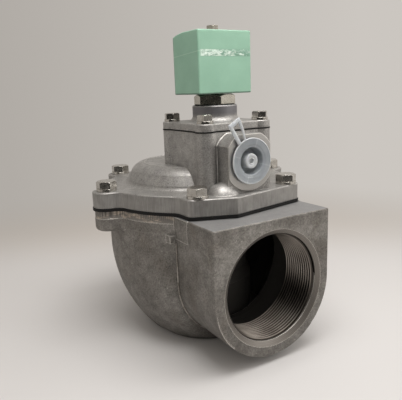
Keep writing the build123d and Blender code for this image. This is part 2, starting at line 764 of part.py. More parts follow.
# Coil
def coil_body_outline():
    """Side profile of the moulding: flat front and top, and a top that falls away to the back."""
    front = -tower_y - coil_front
    back = -tower_y + coil_back
    fall = front + coil_flat_depth
    crown = ThreePointArc((fall, coil_top), ((fall + back) / 2, coil_top - coil_back_drop * 0.32),
                          (back, coil_top - coil_back_drop))
    rest = Polyline(crown @ 1, (back, coil_bottom), (front, coil_bottom), (front, coil_top), crown @ 0)
    return Plane(origin=(-coil_half, 0, 0), x_dir=(0, 1, 0), z_dir=(1, 0, 0)) * make_face(crown + rest)


def yoke_solid(grow=0.0):
    low = coil_bottom + coil_cap_t - grow
    high = coil_top - coil_back_drop - coil_cap_t + grow
    wide, deep = yoke_half + grow, yoke_half_w + grow
    outer = block(-wide, wide, -tower_y - deep, -tower_y + deep, low, high)
    inner = yoke_half - yoke_t - grow
    wall = yoke_t + 2 * grow
    return outer - block(-inner, inner, -tower_y - 2 * deep, -tower_y + 2 * deep, low + wall, high - wall)


def coil_housing():
    solid = extrude(coil_body_outline(), 2 * coil_half)
    back = -tower_y + coil_back
    upright = [e for e in solid.edges().filter_by(Axis.Z) if abs(e.center().Y - back) < 0.1]
    solid = fillet(upright, coil_corner_r)
    solid = fillet([e for e in solid.edges() if e.length > 2], coil_edge_r)
    mid = (coil_bottom + coil_top - coil_back_drop) / 2
    seat = block(-connector_half, connector_half, back - 1, back + connector_rise,
                 mid - connector_half, mid + connector_half)
    solid += fillet(seat.edges().filter_by(Axis.Y), 2.5)
    # bore over the core tube, narrowed to the stud in its top wall
    solid -= disc(coil_bore_r, coil_bottom - 1, plug_top + slide_gap, y=-tower_y)
    solid -= disc(stud_r + slide_gap, plug_top, coil_top + 1, y=-tower_y)
    low = coil_bottom + coil_cap_t
    high = coil_top - coil_back_drop - coil_cap_t
    solid -= yoke_solid(seat_gap) + disc(winding_r + 0.4, low + yoke_t, high - yoke_t, y=-tower_y)
    for cutter in terminal_blanks(seat_gap) + [insert_blank(insert_r + seat_gap, seat_gap)]:
        solid -= cutter
    return solid


def bobbin():
    low = coil_bottom + coil_cap_t + yoke_t + seat_gap
    high = coil_top - coil_back_drop - coil_cap_t - yoke_t - seat_gap
    bore = coil_bore_r + seat_gap
    hub = bore + bobbin_wall
    under, over = low + bobbin_flange_t, high - bobbin_flange_t
    return turned([(bore, low), (winding_r, low), (winding_r, under), (hub, under), (hub, over),
                   (winding_r, over), (winding_r, high), (bore, high)], y=-tower_y)


def winding():
    low = coil_bottom + coil_cap_t + yoke_t + bobbin_flange_t + 2 * seat_gap
    high = coil_top - coil_back_drop - coil_cap_t - yoke_t - bobbin_flange_t - 2 * seat_gap
    inner = coil_bore_r + bobbin_wall + 3 * seat_gap
    return turned([(inner, low), (winding_r - 0.3, low), (winding_r - 0.3, high), (inner, high)], y=-tower_y)


def coil_yoke():
    return yoke_solid() - disc(coil_bore_r + seat_gap, 0, 300, y=-tower_y)


def terminal_blanks(grow=0.0):
    """Two upright line blades and a level earth blade below them."""
    back = -tower_y + coil_back + connector_rise
    mid = (coil_bottom + coil_top - coil_back_drop) / 2
    w, t = terminal_w / 2 + grow, terminal_t / 2 + grow
    y0, y1 = back - terminal_in - grow, back + terminal_out
    side = terminal_pitch / 2
    blades = [block(s * side - t, s * side + t, y0, y1, mid - w, mid + w) for s in (-1, 1)]
    return blades + [block(-w, w, y0, y1, mid - side - t, mid - side + t)]


def terminal(n):
    blade = terminal_blanks()[n]
    tip = [e for e in blade.edges() if abs(e.center().Y - blade.bounding_box().max.Y) < 0.01 and e.length < 1]
    blade = chamfer(tip, 1.2)
    back = -tower_y + coil_back + connector_rise
    mid = (coil_bottom + coil_top - coil_back_drop) / 2
    eye = Cylinder(blade_eye_r, 4 * terminal_t)
    eye_y = back + terminal_out - blade_eye_in
    if n == 2:
        return blade - Pos(0, eye_y, mid - terminal_pitch / 2) * eye
    side = -1 if n == 0 else 1
    return blade - Pos(side * terminal_pitch / 2, eye_y, mid) * Rot(0, 90, 0) * eye


def insert_blank(r, grow=0.0):
    back = -tower_y + coil_back + connector_rise
    mid = (coil_bottom + coil_top - coil_back_drop) / 2
    return rod_y(r, back - insert_len - grow, back, z=mid)


def connector_insert():
    back = -tower_y + coil_back + connector_rise
    mid = (coil_bottom + coil_top - coil_back_drop) / 2
    return insert_blank(insert_r) - rod_y(insert_hole_r, back - insert_len + 1, back + 1, z=mid)


def coil_washer():
    ring = disc(coil_washer_r, coil_top, coil_top + coil_washer_t, y=-tower_y)
    return ring - disc(stud_r + seat_gap, 0, 300, y=-tower_y)


def coil_nut():
    low = coil_top + coil_washer_t
    nut = hexagon(coil_nut_af, low, low + coil_nut_h, y=-tower_y, turn=coil_nut_turn)
    return nut - disc(stud_r + seat_gap, 0, 300, y=-tower_y)


# Dust cap in the exhaust port, with its pull tab
def exhaust_cap():
    face = cap_stand_off + cap_flange_t
    root = exhaust_thread_r - slide_gap
    tip = root - cap_taper
    floor = face - cap_plug_len
    hub = face - cap_hub_drop
    points = [(0, floor - cap_floor_t), (tip, floor - cap_floor_t), (root, cap_stand_off - 1),
              (root, cap_stand_off), (cap_flange_r, cap_stand_off), (cap_flange_r, face - 0.4),
              (cap_flange_r - 0.4, face), (cap_recess_r, face), (cap_recess_r - 0.4, floor),
              (cap_hub_r + 0.3, floor), (cap_hub_r, hub), (cap_dimple_r + 0.3, hub),
              (cap_dimple_r, hub - cap_dimple_depth), (0, hub - cap_dimple_depth)]
    cup = Pos(0, -exhaust_reach, exhaust_z) * Rot(90, 0, 0) * turned(points)
    half_root, half_end = tab_root_w / 2, tab_end_w / 2
    start = cap_flange_r - 1.5
    frame = make_face(Polyline((start, -half_root), (tab_end, -half_end), (tab_end, half_end),
                               (start, half_root),
                               close=True))
    frame = fillet([v for v in frame.vertices() if v.X > start + 1], 1.6)
    near, far = cap_flange_r + 1.4, tab_end - tab_bar
    slim = half_root - tab_bar * 0.85
    window = make_face(Polyline((near, -slim), (far, -half_end + tab_bar), (far, half_end - tab_bar),
                                (near, slim),
                                close=True))
    along = (cos(radians(tab_angle)), 0, sin(radians(tab_angle)))
    tab_plane = Plane(origin=(0, -exhaust_reach - cap_stand_off, exhaust_z), x_dir=along, z_dir=(0, -1, 0))
    return cup + extrude(tab_plane * (frame - fillet(window.vertices(), 0.7)), tab_t)


nodes = {
    "valve_body": valve_body,
    "main_diaphragm": main_diaphragm,
    "main_cover": main_cover,
    "main_bolts": main_bolts,
    "main_lock_washers": main_lock_washers,
    "diaphragm_seal_disc": seal_disc,
    "diaphragm_top_plate": top_plate,
    "diaphragm_screw": centre_screw,
    "diaphragm_nut": centre_nut,
    "main_spring": main_spring,
    "pilot_diaphragm": pilot_diaphragm,
    "pilot_seal_disc": pilot_seal_disc,
    "pilot_top_plate": pilot_plate,
    "pilot_rivet": pilot_rivet,
    "pilot_spring": pilot_spring,
    "pilot_bonnet": pilot_bonnet,
    "pilot_bolts": pilot_bolts,
    "pilot_lock_washers": pilot_lock_washers,
    "base_gasket": base_gasket,
    "solenoid_base": solenoid_base,
    "core_tube": core_tube,
    "plug_nut": plug_nut,
    "shading_ring": shading_ring,
    "core": core,
    "core_seat": core_seat,
    "core_spring": core_spring,
    "coil_housing": coil_housing,
    "coil_yoke": coil_yoke,
    "coil_bobbin": bobbin,
    "coil_winding": winding,
    "line_terminal_left": lambda: terminal(0),
    "line_terminal_right": lambda: terminal(1),
    "earth_terminal": lambda: terminal(2),
    "connector_insert": connector_insert,
    "coil_washer": coil_washer,
    "coil_nut": coil_nut,
    "exhaust_cap": exhaust_cap,
}

for name, make in nodes.items():
    export_step(make(), f"parts/{name}.step")
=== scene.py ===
import bmesh
import bpy
import math
import random
from mathutils import Matrix, Vector


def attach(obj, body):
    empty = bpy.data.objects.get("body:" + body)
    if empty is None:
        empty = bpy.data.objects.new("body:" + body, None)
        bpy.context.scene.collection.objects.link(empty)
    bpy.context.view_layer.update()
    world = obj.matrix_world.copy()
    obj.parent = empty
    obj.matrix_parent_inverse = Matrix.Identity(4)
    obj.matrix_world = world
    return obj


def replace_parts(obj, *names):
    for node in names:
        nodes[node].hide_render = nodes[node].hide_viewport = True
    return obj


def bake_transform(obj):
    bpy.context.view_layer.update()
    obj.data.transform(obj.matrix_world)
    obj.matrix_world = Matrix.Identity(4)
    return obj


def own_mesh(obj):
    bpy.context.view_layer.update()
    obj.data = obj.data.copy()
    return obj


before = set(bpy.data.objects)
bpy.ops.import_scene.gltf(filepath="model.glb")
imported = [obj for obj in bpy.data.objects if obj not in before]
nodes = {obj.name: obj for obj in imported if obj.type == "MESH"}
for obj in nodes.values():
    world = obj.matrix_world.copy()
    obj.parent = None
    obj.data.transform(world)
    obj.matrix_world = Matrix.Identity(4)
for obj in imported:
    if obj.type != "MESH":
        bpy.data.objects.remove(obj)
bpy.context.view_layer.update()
random.seed(7)

MM = 0.001

# Levels and sizes of the valve, in metres, as the castings have them
INLET_Z = 0.0538
INLET_FACE = -0.0995
THREAD_R = 0.0376
THREAD_PITCH = 0.002309
THREAD_DEPTH = 0.001479
THREAD_END = 0.0336
THREAD_BACK = INLET_FACE + 33 * MM
PORT_RIM_R = 0.0412
NECK_R = 0.0394
BLOCK_HALF = 0.0496
BLOCK_BACK = -0.0522
BOWL_R = 0.0706
BOWL_WIDEST_Z = 0.0715
BOWL_ROUND = 0.10529
SKIN_DEPTH = 0.0025
EXHAUST_Z = 0.1375
EXHAUST_FACE = -0.0735
TOWER_Y = -0.0313
BAND_STEP = 0.0968
DECK = 0.1161
DOME_TOP = 0.1311
COIL_FRONT = -0.0482
COIL_BAND_Z = 0.2099
BONNET_DECK = 0.1632
COIL_FOOT = min(corner.co.z for corner in nodes["coil_housing"].data.vertices)


# The view of the photograph
def place_camera():
    turn, pitch, roll = math.radians(-31.05), math.radians(12.67), math.radians(-2.14)
    focal_pixels, photo_width, sensor_mm = 493.38, 402, 36
    right = Vector((math.cos(turn), math.sin(turn), 0))
    back = Vector((math.sin(turn) * math.cos(pitch), -math.cos(turn) * math.cos(pitch), math.sin(pitch)))
    up = back.cross(right)
    tilted_right = right * math.cos(roll) + up * math.sin(roll)
    tilted_up = up * math.cos(roll) - right * math.sin(roll)
    at = right * 3.62 * MM + Vector((0, 0, 97.48 * MM)) + back * 403.9 * MM
    camera = bpy.data.objects.new("camera", bpy.data.cameras.new("camera"))
    camera.data.sensor_width = sensor_mm
    camera.data.lens = focal_pixels / photo_width * sensor_mm
    camera.matrix_world = Matrix((
        (tilted_right.x, tilted_up.x, back.x, at.x),
        (tilted_right.y, tilted_up.y, back.y, at.y),
        (tilted_right.z, tilted_up.z, back.z, at.z),
        (0, 0, 0, 1)))
    bpy.context.scene.collection.objects.link(camera)
    bpy.context.scene.camera = camera
    return right, Vector((back.x, back.y, 0)).normalized()


# Materials
def linear(hex_colour):
    """The linear colour of an sRGB hex value."""
    parts = [int(hex_colour[i:i + 2], 16) / 255 for i in (1, 3, 5)]
    return tuple(c / 12.92 if c <= 0.04045 else ((c + 0.055) / 1.055) ** 2.4 for c in parts) + (1.0,)


def add(tree, kind, inputs={}, out=0, **settings):
    """Adds a node with its settings and links, and returns one of its outputs."""
    node = tree.nodes.new(kind)
    for key, value in settings.items():
        setattr(node, key, value)
    for key, value in inputs.items():
        if isinstance(value, bpy.types.NodeSocket):
            tree.links.new(value, node.inputs[key])
        else:
            node.inputs[key].default_value = value
    return node.outputs[out]


def new_material(name, **constants):
    """A principled material, its node tree and its shader, with the shader's constant sockets set."""
    material = bpy.data.materials.new(name)
    material.use_nodes = True
    tree = material.node_tree
    shader = tree.nodes["Principled BSDF"]
    for key, value in constants.items():
        shader.inputs[key.replace("_", " ")].default_value = value
    return material, tree, shader


def cast_skin(tree, light, mid, dark, stain, cloud_mm, grain_mm, stain_share=0.3):
    """The skin of a blasted aluminium casting: clouds of tone, stains, a grain, dark pores and bright nicks.
    Returns its place, colour, roughness and height, which a material mixes with its machined places."""
    place = add(tree, "ShaderNodeTexCoord", out=3)
    cloud = add(tree, "ShaderNodeTexNoise", {"Vector": place, "Scale": 1 / (cloud_mm * MM), "Detail": 3,
                                             "Roughness": 0.5})
    patch = add(tree, "ShaderNodeTexNoise", {"Vector": place, "Scale": 1 / (cloud_mm * 0.28 * MM),
                                             "Detail": 5, "Roughness": 0.65})
    grain = add(tree, "ShaderNodeTexNoise", {"Vector": place, "Scale": 1 / (grain_mm * MM), "Detail": 3,
                                             "Roughness": 0.75})
    cloud_share = add(tree, "ShaderNodeMapRange", {"Value": cloud, 1: 0.36, 2: 0.64})
    patch_share = add(tree, "ShaderNodeMapRange", {"Value": patch, 1: 0.4, 2: 0.66})
    grain_share = add(tree, "ShaderNodeMapRange", {"Value": grain, 1: 0.3, 2: 0.7})
    colour = add(tree, "ShaderNodeMix", {0: cloud_share, 6: linear(mid), 7: linear(light)}, out=2,
                 data_type="RGBA")
    darker = add(tree, "ShaderNodeMath", {0: patch_share, 1: 0.42}, operation="MULTIPLY")
    colour = add(tree, "ShaderNodeMix", {0: darker, 6: colour, 7: linear(dark)}, out=2, data_type="RGBA")
    stained = add(tree, "ShaderNodeTexNoise", {"Vector": place, "Scale": 1 / (cloud_mm * 0.8 * MM),
                                               "Detail": 5, "Distortion": 0.6, "Roughness": 0.62})
    stained = add(tree, "ShaderNodeMapRange", {"Value": stained, 1: 0.52, 2: 0.7, 4: stain_share})
    colour = add(tree, "ShaderNodeMix", {0: stained, 6: colour, 7: linear(stain)}, out=2, data_type="RGBA")
    grainy = add(tree, "ShaderNodeMapRange", {"Value": grain_share, 3: 0.6, 4: 1.35})
    colour = add(tree, "ShaderNodeMix", {0: 1.0, 6: colour, 7: grainy}, out=2, data_type="RGBA",
                 blend_type="MULTIPLY")
    # pores up to 0.9 mm across in patches, and nicks that shine
    pores = add(tree, "ShaderNodeTexVoronoi", {"Vector": place, "Scale": 1 / (2.1 * MM), "Randomness": 1.0})
    pore_size = add(tree, "ShaderNodeMapRange", {"Value": patch, 1: 0.42, 2: 0.7, 4: 0.22})
    pore = add(tree, "ShaderNodeMath", {0: pores, 1: pore_size}, operation="LESS_THAN")
    pore_tone = add(tree, "ShaderNodeMath", {0: pore, 1: 0.6}, operation="MULTIPLY")
    colour = add(tree, "ShaderNodeMix", {0: pore_tone, 6: colour, 7: linear("#262422")}, out=2,
                 data_type="RGBA")
    nicks = add(tree, "ShaderNodeTexVoronoi", {"Vector": place, "Scale": 1 / (4.6 * MM), "Randomness": 1.0})
    nick = add(tree, "ShaderNodeMapRange", {"Value": nicks, 1: 0.06, 2: 0.11, 3: 0.55, 4: 0.0})
    nick_field = add(tree, "ShaderNodeMapRange", {"Value": cloud, 1: 0.5, 2: 0.56})
    nick = add(tree, "ShaderNodeMath", {0: nick, 1: nick_field}, operation="MULTIPLY")
    colour = add(tree, "ShaderNodeMix", {0: nick, 6: colour, 7: linear("#CFCBC5")}, out=2, data_type="RGBA")
    rough = add(tree, "ShaderNodeMapRange", {"Value": patch, 1: 0.3, 2: 0.7, 3: 0.5, 4: 0.62})
    height = add(tree, "ShaderNodeMath", {0: grain_share, 1: 0.7, 2: cloud_share}, operation="MULTIPLY_ADD")
    height = add(tree, "ShaderNodeMath", {0: height, 1: pore}, operation="SUBTRACT")
    return place, colour, rough, height


def edge_wear_highlight_and_corner_shade(tree, colour, radius_mm, tone, share):
    """Edges made pale, partly as wear and partly as a painted highlight, and corners darkened by occlusion as
    painted shade. Returns colour and the softened normal.
    """
    soft = add(tree, "ShaderNodeBevel", {"Radius": radius_mm * MM}, samples=6)
    face = add(tree, "ShaderNodeNewGeometry", out=3)
    turned = add(tree, "ShaderNodeVectorMath", {0: soft, 1: face}, out=1, operation="DOT_PRODUCT")
    # paler edges: partly wear, partly a painted highlight
    edge_wear_and_highlight = add(tree, "ShaderNodeMapRange", {"Value": turned, 1: 0.992, 2: 0.9, 4: share})
    open_air = add(tree, "ShaderNodeAmbientOcclusion", {"Distance": 6 * MM}, out=1, samples=8)
    outside = add(tree, "ShaderNodeMapRange", {"Value": open_air, 1: 0.45, 2: 0.8})
    edge_wear_and_highlight = add(tree, "ShaderNodeMath", {0: edge_wear_and_highlight, 1: outside}, operation="MULTIPLY")
    # painted shade: colour darkened where occlusion finds corners close
    painted_corner_shade = add(tree, "ShaderNodeMapRange", {"Value": open_air, 1: 0.1, 2: 0.75, 3: 0.45, 4: 1.0})
    colour = add(tree, "ShaderNodeMix", {0: 1.0, 6: colour, 7: painted_corner_shade}, out=2, data_type="RGBA",
                 blend_type="MULTIPLY")
    colour = add(tree, "ShaderNodeMix", {0: edge_wear_and_highlight, 6: colour, 7: linear(tone)}, out=2, data_type="RGBA")
    return colour, soft


def body_casting():
    """Cast aluminium of the body: dull and mottled, with brown stains, edges paled partly by wear and partly
    as a painted highlight, painted light on the top of the inlet block, and painted shade in its corners, low
    down and in its hollows. Its rim band and its bores are machined."""
    material, tree, shader = new_material("cast_aluminium_body", Metallic=0.6)
    place, colour, rough, height = cast_skin(tree, "#96938E", "#807C77", "#56534E", "#766C5F", 26, 1.1)
    axes = add(tree, "ShaderNodeSeparateXYZ", {0: place}).node.outputs
    # machined rim band of the flange, with the tool's upright ticks about 1.6 mm apart
    band = add(tree, "ShaderNodeMapRange", {"Value": axes[2], 1: BAND_STEP - 0.1 * MM,
                                            2: BAND_STEP + 0.1 * MM})
    block_x = add(tree, "ShaderNodeMath", {0: axes[0]}, operation="ABSOLUTE")
    in_block = add(tree, "ShaderNodeMath", {0: block_x, 1: BLOCK_HALF}, operation="LESS_THAN")
    in_front = add(tree, "ShaderNodeMath", {0: axes[1], 1: BLOCK_BACK}, operation="LESS_THAN")
    block_side = add(tree, "ShaderNodeMath", {0: in_block, 1: in_front}, operation="MULTIPLY")
    off_block = add(tree, "ShaderNodeMath", {0: 1.0, 1: block_side}, operation="SUBTRACT")
    band = add(tree, "ShaderNodeMath", {0: band, 1: off_block}, operation="MULTIPLY")
    round_z = add(tree, "ShaderNodeMath", {0: axes[1], 1: axes[0]}, operation="ARCTAN2")
    tick = add(tree, "ShaderNodeMath", {0: round_z, 1: 300.0}, operation="MULTIPLY")
    tick = add(tree, "ShaderNodeMath", {0: tick}, operation="SINE")
    tick = add(tree, "ShaderNodeMapRange", {"Value": tick, 1: -1.0, 2: 1.0, 3: 0.5, 4: 1.2})
    fade = add(tree, "ShaderNodeMapRange", {"Value": axes[2], 1: BAND_STEP + 0.7 * MM,
                                            2: BAND_STEP + 2.7 * MM})
    ticks = add(tree, "ShaderNodeMix", {0: fade, 2: 1.0, 3: tick}, data_type="FLOAT")
    stretched = add(tree, "ShaderNodeMapping", {"Vector": place, "Scale": (1, 1, 2.6)})
    scrape = add(tree, "ShaderNodeTexNoise", {"Vector": stretched, "Scale": 120.0, "Detail": 6,
                                              "Roughness": 0.7})
    scrape = add(tree, "ShaderNodeMapRange", {"Value": scrape, 1: 0.48, 2: 0.6})
    band_colour = add(tree, "ShaderNodeMix", {0: scrape, 6: linear("#8C8883"), 7: linear("#C4B8A9")},
                      out=2, data_type="RGBA")
    band_colour = add(tree, "ShaderNodeMix", {0: 1.0, 6: band_colour, 7: ticks}, out=2, data_type="RGBA",
                      blend_type="MULTIPLY")
    colour = add(tree, "ShaderNodeMix", {0: band, 6: colour, 7: band_colour}, out=2, data_type="RGBA")
    # painted shade: the body made darker towards the bottom, where less light reaches
    painted_low_shade = add(tree, "ShaderNodeMapRange", {"Value": axes[2], 1: 0.0, 2: 85 * MM, 3: 0.74, 4: 1.0})
    colour = add(tree, "ShaderNodeMix", {0: 1.0, 6: colour, 7: painted_low_shade}, out=2, data_type="RGBA",
                 blend_type="MULTIPLY")
    # painted top light: up-facing faces on top of the inlet block made a paler, cooler and more even grey
    facing = add(tree, "ShaderNodeNewGeometry", out=1)
    facing = add(tree, "ShaderNodeSeparateXYZ", {0: facing}, out=2)
    painted_top_light = add(tree, "ShaderNodeMapRange", {"Value": facing, 1: 0.93, 2: 0.97})
    painted_top_light = add(tree, "ShaderNodeMath", {0: painted_top_light, 1: block_side}, operation="MULTIPLY")
    raised = add(tree, "ShaderNodeMath", {0: axes[2], 1: 90 * MM}, operation="GREATER_THAN")
    painted_top_light = add(tree, "ShaderNodeMath", {0: painted_top_light, 1: raised}, operation="MULTIPLY")
    painted_top_light_share = add(tree, "ShaderNodeMath", {0: painted_top_light, 1: 0.75}, operation="MULTIPLY")
    colour = add(tree, "ShaderNodeMix", {0: painted_top_light_share, 6: colour, 7: linear("#989899")}, out=2,
                 data_type="RGBA")
    # bored ports and the turned foot, with tool lines 0.7 mm apart
    level = add(tree, "ShaderNodeMath", {0: axes[2], 1: INLET_Z}, operation="SUBTRACT")
    across = add(tree, "ShaderNodeCombineXYZ", {0: axes[0], 1: level})
    inlet_r = add(tree, "ShaderNodeVectorMath", {0: across}, out=1, operation="LENGTH")
    inlet = add(tree, "ShaderNodeMath", {0: inlet_r, 1: PORT_RIM_R}, operation="LESS_THAN")
    inlet = add(tree, "ShaderNodeMath", {0: inlet, 1: in_front}, operation="MULTIPLY")
    flat = add(tree, "ShaderNodeCombineXYZ", {0: axes[0], 1: axes[1]})
    outlet_r = add(tree, "ShaderNodeVectorMath", {0: flat}, out=1, operation="LENGTH")
    outlet = add(tree, "ShaderNodeMath", {0: outlet_r, 1: THREAD_R + 0.2 * MM}, operation="LESS_THAN")
    low = add(tree, "ShaderNodeMath", {0: axes[2], 1: THREAD_END}, operation="LESS_THAN")
    outlet = add(tree, "ShaderNodeMath", {0: outlet, 1: low}, operation="MULTIPLY")
    foot = add(tree, "ShaderNodeMath", {0: axes[2], 1: 0.2 * MM}, operation="LESS_THAN")
    bored = add(tree, "ShaderNodeMath", {0: inlet, 1: outlet}, operation="MAXIMUM")
    bored = add(tree, "ShaderNodeMath", {0: bored, 1: foot}, operation="MAXIMUM")
    turned_r = add(tree, "ShaderNodeMix", {0: foot, 2: axes[1], 3: outlet_r}, data_type="FLOAT")
    lines = add(tree, "ShaderNodeMath", {0: turned_r, 1: 9000.0}, operation="MULTIPLY")
    lines = add(tree, "ShaderNodeMath", {0: lines}, operation="SINE")
    lines = add(tree, "ShaderNodeMapRange", {"Value": lines, 1: -1.0, 2: 1.0, 3: 0.86, 4: 1.05})
    turned = add(tree, "ShaderNodeMix", {0: 1.0, 6: linear("#7C7771"), 7: lines}, out=2, data_type="RGBA",
                 blend_type="MULTIPLY")
    colour = add(tree, "ShaderNodeMix", {0: bored, 6: colour, 7: turned}, out=2, data_type="RGBA")
    # painted shade: the hollow inside behind the thread, left as cast, made darker
    deep = add(tree, "ShaderNodeMapRange", {"Value": axes[1], 1: THREAD_BACK - 0.3 * MM,
                                            2: THREAD_BACK + 0.3 * MM})
    narrow = add(tree, "ShaderNodeMath", {0: inlet_r, 1: NECK_R}, operation="LESS_THAN")
    neck = add(tree, "ShaderNodeMath", {0: deep, 1: narrow}, operation="MULTIPLY")
    ahead = add(tree, "ShaderNodeMath", {0: axes[1], 1: -46.5 * MM}, operation="LESS_THAN")
    neck = add(tree, "ShaderNodeMath", {0: neck, 1: ahead}, operation="MULTIPLY")
    below = add(tree, "ShaderNodeMath", {0: BOWL_WIDEST_Z, 1: axes[2]}, operation="SUBTRACT")
    below = add(tree, "ShaderNodeMath", {0: below, 1: 0.0}, operation="MAXIMUM")
    below = add(tree, "ShaderNodeMath", {0: below, 1: 2.0}, operation="POWER")
    wall_r = add(tree, "ShaderNodeMath", {0: BOWL_ROUND ** 2, 1: below}, operation="SUBTRACT")
    wall_r = add(tree, "ShaderNodeMath", {0: wall_r, 1: 0.5}, operation="POWER")
    wall_r = add(tree, "ShaderNodeMath", {0: wall_r, 1: BOWL_ROUND - BOWL_R + SKIN_DEPTH},
                 operation="SUBTRACT")
    inside = add(tree, "ShaderNodeMath", {0: outlet_r, 1: wall_r}, operation="LESS_THAN")
    high = add(tree, "ShaderNodeMath", {0: axes[2], 1: 11.2 * MM}, operation="GREATER_THAN")
    inside = add(tree, "ShaderNodeMath", {0: inside, 1: high}, operation="MULTIPLY")
    behind = add(tree, "ShaderNodeMath", {0: axes[1], 1: -50 * MM}, operation="GREATER_THAN")
    inside = add(tree, "ShaderNodeMath", {0: inside, 1: behind}, operation="MULTIPLY")
    painted_inside_shade = add(tree, "ShaderNodeMath", {0: neck, 1: inside}, operation="MAXIMUM")
    colour = add(tree, "ShaderNodeMix", {0: painted_inside_shade, 6: colour, 7: linear("#5A5855")}, out=2, data_type="RGBA")
    # edges paled partly by wear and partly as a painted highlight; corners darkened as painted shade
    colour, soft = edge_wear_highlight_and_corner_shade(tree, colour, 0.9, "#E6E2DB", 0.95)
    smooth = add(tree, "ShaderNodeMix", {0: bored, 2: rough, 3: 0.34}, data_type="FLOAT")
    bump = add(tree, "ShaderNodeBump", {"Height": height, "Distance": 0.12 * MM, "Strength": 0.7,
                                        "Normal": soft})
    tree.links.new(colour, shader.inputs["Base Color"])
    tree.links.new(smooth, shader.inputs["Roughness"])
    tree.links.new(bump, shader.inputs["Normal"])
    return material


def cover_casting():
    """Shot-blasted aluminium of the cover and bonnet: paler and brighter than the body, with upright milled
    streaks on the side of the flange."""
    material, tree, shader = new_material("blasted_aluminium_cover", Metallic=0.75)
    place, colour, rough, height = cast_skin(tree, "#B5B3B0", "#A5A3A0", "#838180", "#938D84", 20, 0.8, 0.16)
    axes = add(tree, "ShaderNodeSeparateXYZ", {0: place}).node.outputs
    # turned ring round the exhaust port, with grooves 0.5 mm apart
    level = add(tree, "ShaderNodeMath", {0: axes[2], 1: EXHAUST_Z}, operation="SUBTRACT")
    across = add(tree, "ShaderNodeCombineXYZ", {0: axes[0], 1: level})
    ring_r = add(tree, "ShaderNodeVectorMath", {0: across}, out=1, operation="LENGTH")
    ring = add(tree, "ShaderNodeMath", {0: axes[1], 1: EXHAUST_FACE + 1.25 * MM}, operation="LESS_THAN")
    near = add(tree, "ShaderNodeMath", {0: ring_r, 1: 20.6 * MM}, operation="LESS_THAN")
    ring = add(tree, "ShaderNodeMath", {0: ring, 1: near}, operation="MULTIPLY")
    grooves = add(tree, "ShaderNodeMath", {0: ring_r, 1: 12000.0}, operation="MULTIPLY")
    grooves = add(tree, "ShaderNodeMath", {0: grooves}, operation="SINE")
    grooves = add(tree, "ShaderNodeMapRange", {"Value": grooves, 1: -1.0, 2: 1.0, 3: 0.88, 4: 1.06})
    turned = add(tree, "ShaderNodeMix", {0: 1.0, 6: linear("#BDBBB8"), 7: grooves}, out=2,
                 data_type="RGBA", blend_type="MULTIPLY")
    colour = add(tree, "ShaderNodeMix", {0: ring, 6: colour, 7: turned}, out=2, data_type="RGBA")
    # turned boss of the bonnet, a darker and cooler grey: partly its turned finish, partly painted shade from
    # the coil above it
    from_axis = add(tree, "ShaderNodeMath", {0: axes[1], 1: TOWER_Y}, operation="SUBTRACT")
    flat = add(tree, "ShaderNodeCombineXYZ", {0: axes[0], 1: from_axis})
    boss_r = add(tree, "ShaderNodeVectorMath", {0: flat}, out=1, operation="LENGTH")
    boss_finish_and_coil_shade = add(tree, "ShaderNodeMath", {0: boss_r, 1: 17.2 * MM}, operation="LESS_THAN")
    turned_high = add(tree, "ShaderNodeMapRange", {"Value": axes[2], 1: BONNET_DECK + 3 * MM,
                                                   2: BONNET_DECK + 6 * MM})
    boss_finish_and_coil_shade = add(tree, "ShaderNodeMath", {0: boss_finish_and_coil_shade, 1: turned_high}, operation="MULTIPLY")
    colour = add(tree, "ShaderNodeMix", {0: boss_finish_and_coil_shade, 6: colour, 7: linear("#7C7B7E")}, out=2, data_type="RGBA")
    # milled side of the flange, with fine upright lines
    side = add(tree, "ShaderNodeMath", {0: axes[2], 1: DECK - 0.9 * MM}, operation="LESS_THAN")
    upright = add(tree, "ShaderNodeMapping", {"Vector": place, "Scale": (1, 1, 0.06)})
    fine = add(tree, "ShaderNodeTexNoise", {"Vector": upright, "Scale": 1500.0, "Detail": 3,
                                            "Roughness": 0.7})
    fine = add(tree, "ShaderNodeMapRange", {"Value": fine, 1: 0.35, 2: 0.65})
    wiped = add(tree, "ShaderNodeTexNoise", {"Vector": place, "Scale": 70.0, "Detail": 4, "Roughness": 0.6})
    wiped = add(tree, "ShaderNodeMapRange", {"Value": wiped, 1: 0.38, 2: 0.62, 3: -0.25, 4: 0.35})
    fine = add(tree, "ShaderNodeMath", {0: fine, 1: 0.7, 2: wiped}, operation="MULTIPLY_ADD", use_clamp=True)
    milled = add(tree, "ShaderNodeMix", {0: fine, 6: linear("#908E8B"), 7: linear("#ADABA8")}, out=2,
                 data_type="RGBA")
    colour = add(tree, "ShaderNodeMix", {0: side, 6: colour, 7: milled}, out=2, data_type="RGBA")
    # edges paled partly by wear and partly as a painted highlight; corners darkened as painted shade
    colour, soft = edge_wear_highlight_and_corner_shade(tree, colour, 0.9, "#F0EDE8", 0.95)
    finer = add(tree, "ShaderNodeMath", {0: rough, 1: 0.1}, operation="SUBTRACT")
    smooth = add(tree, "ShaderNodeMix", {0: ring, 2: finer, 3: 0.28}, data_type="FLOAT")
    bump = add(tree, "ShaderNodeBump", {"Height": height, "Distance": 0.07 * MM, "Strength": 0.6,
                                        "Normal": soft})
    tree.links.new(colour, shader.inputs["Base Color"])
    tree.links.new(smooth, shader.inputs["Roughness"])
    tree.links.new(bump, shader.inputs["Normal"])
    return material


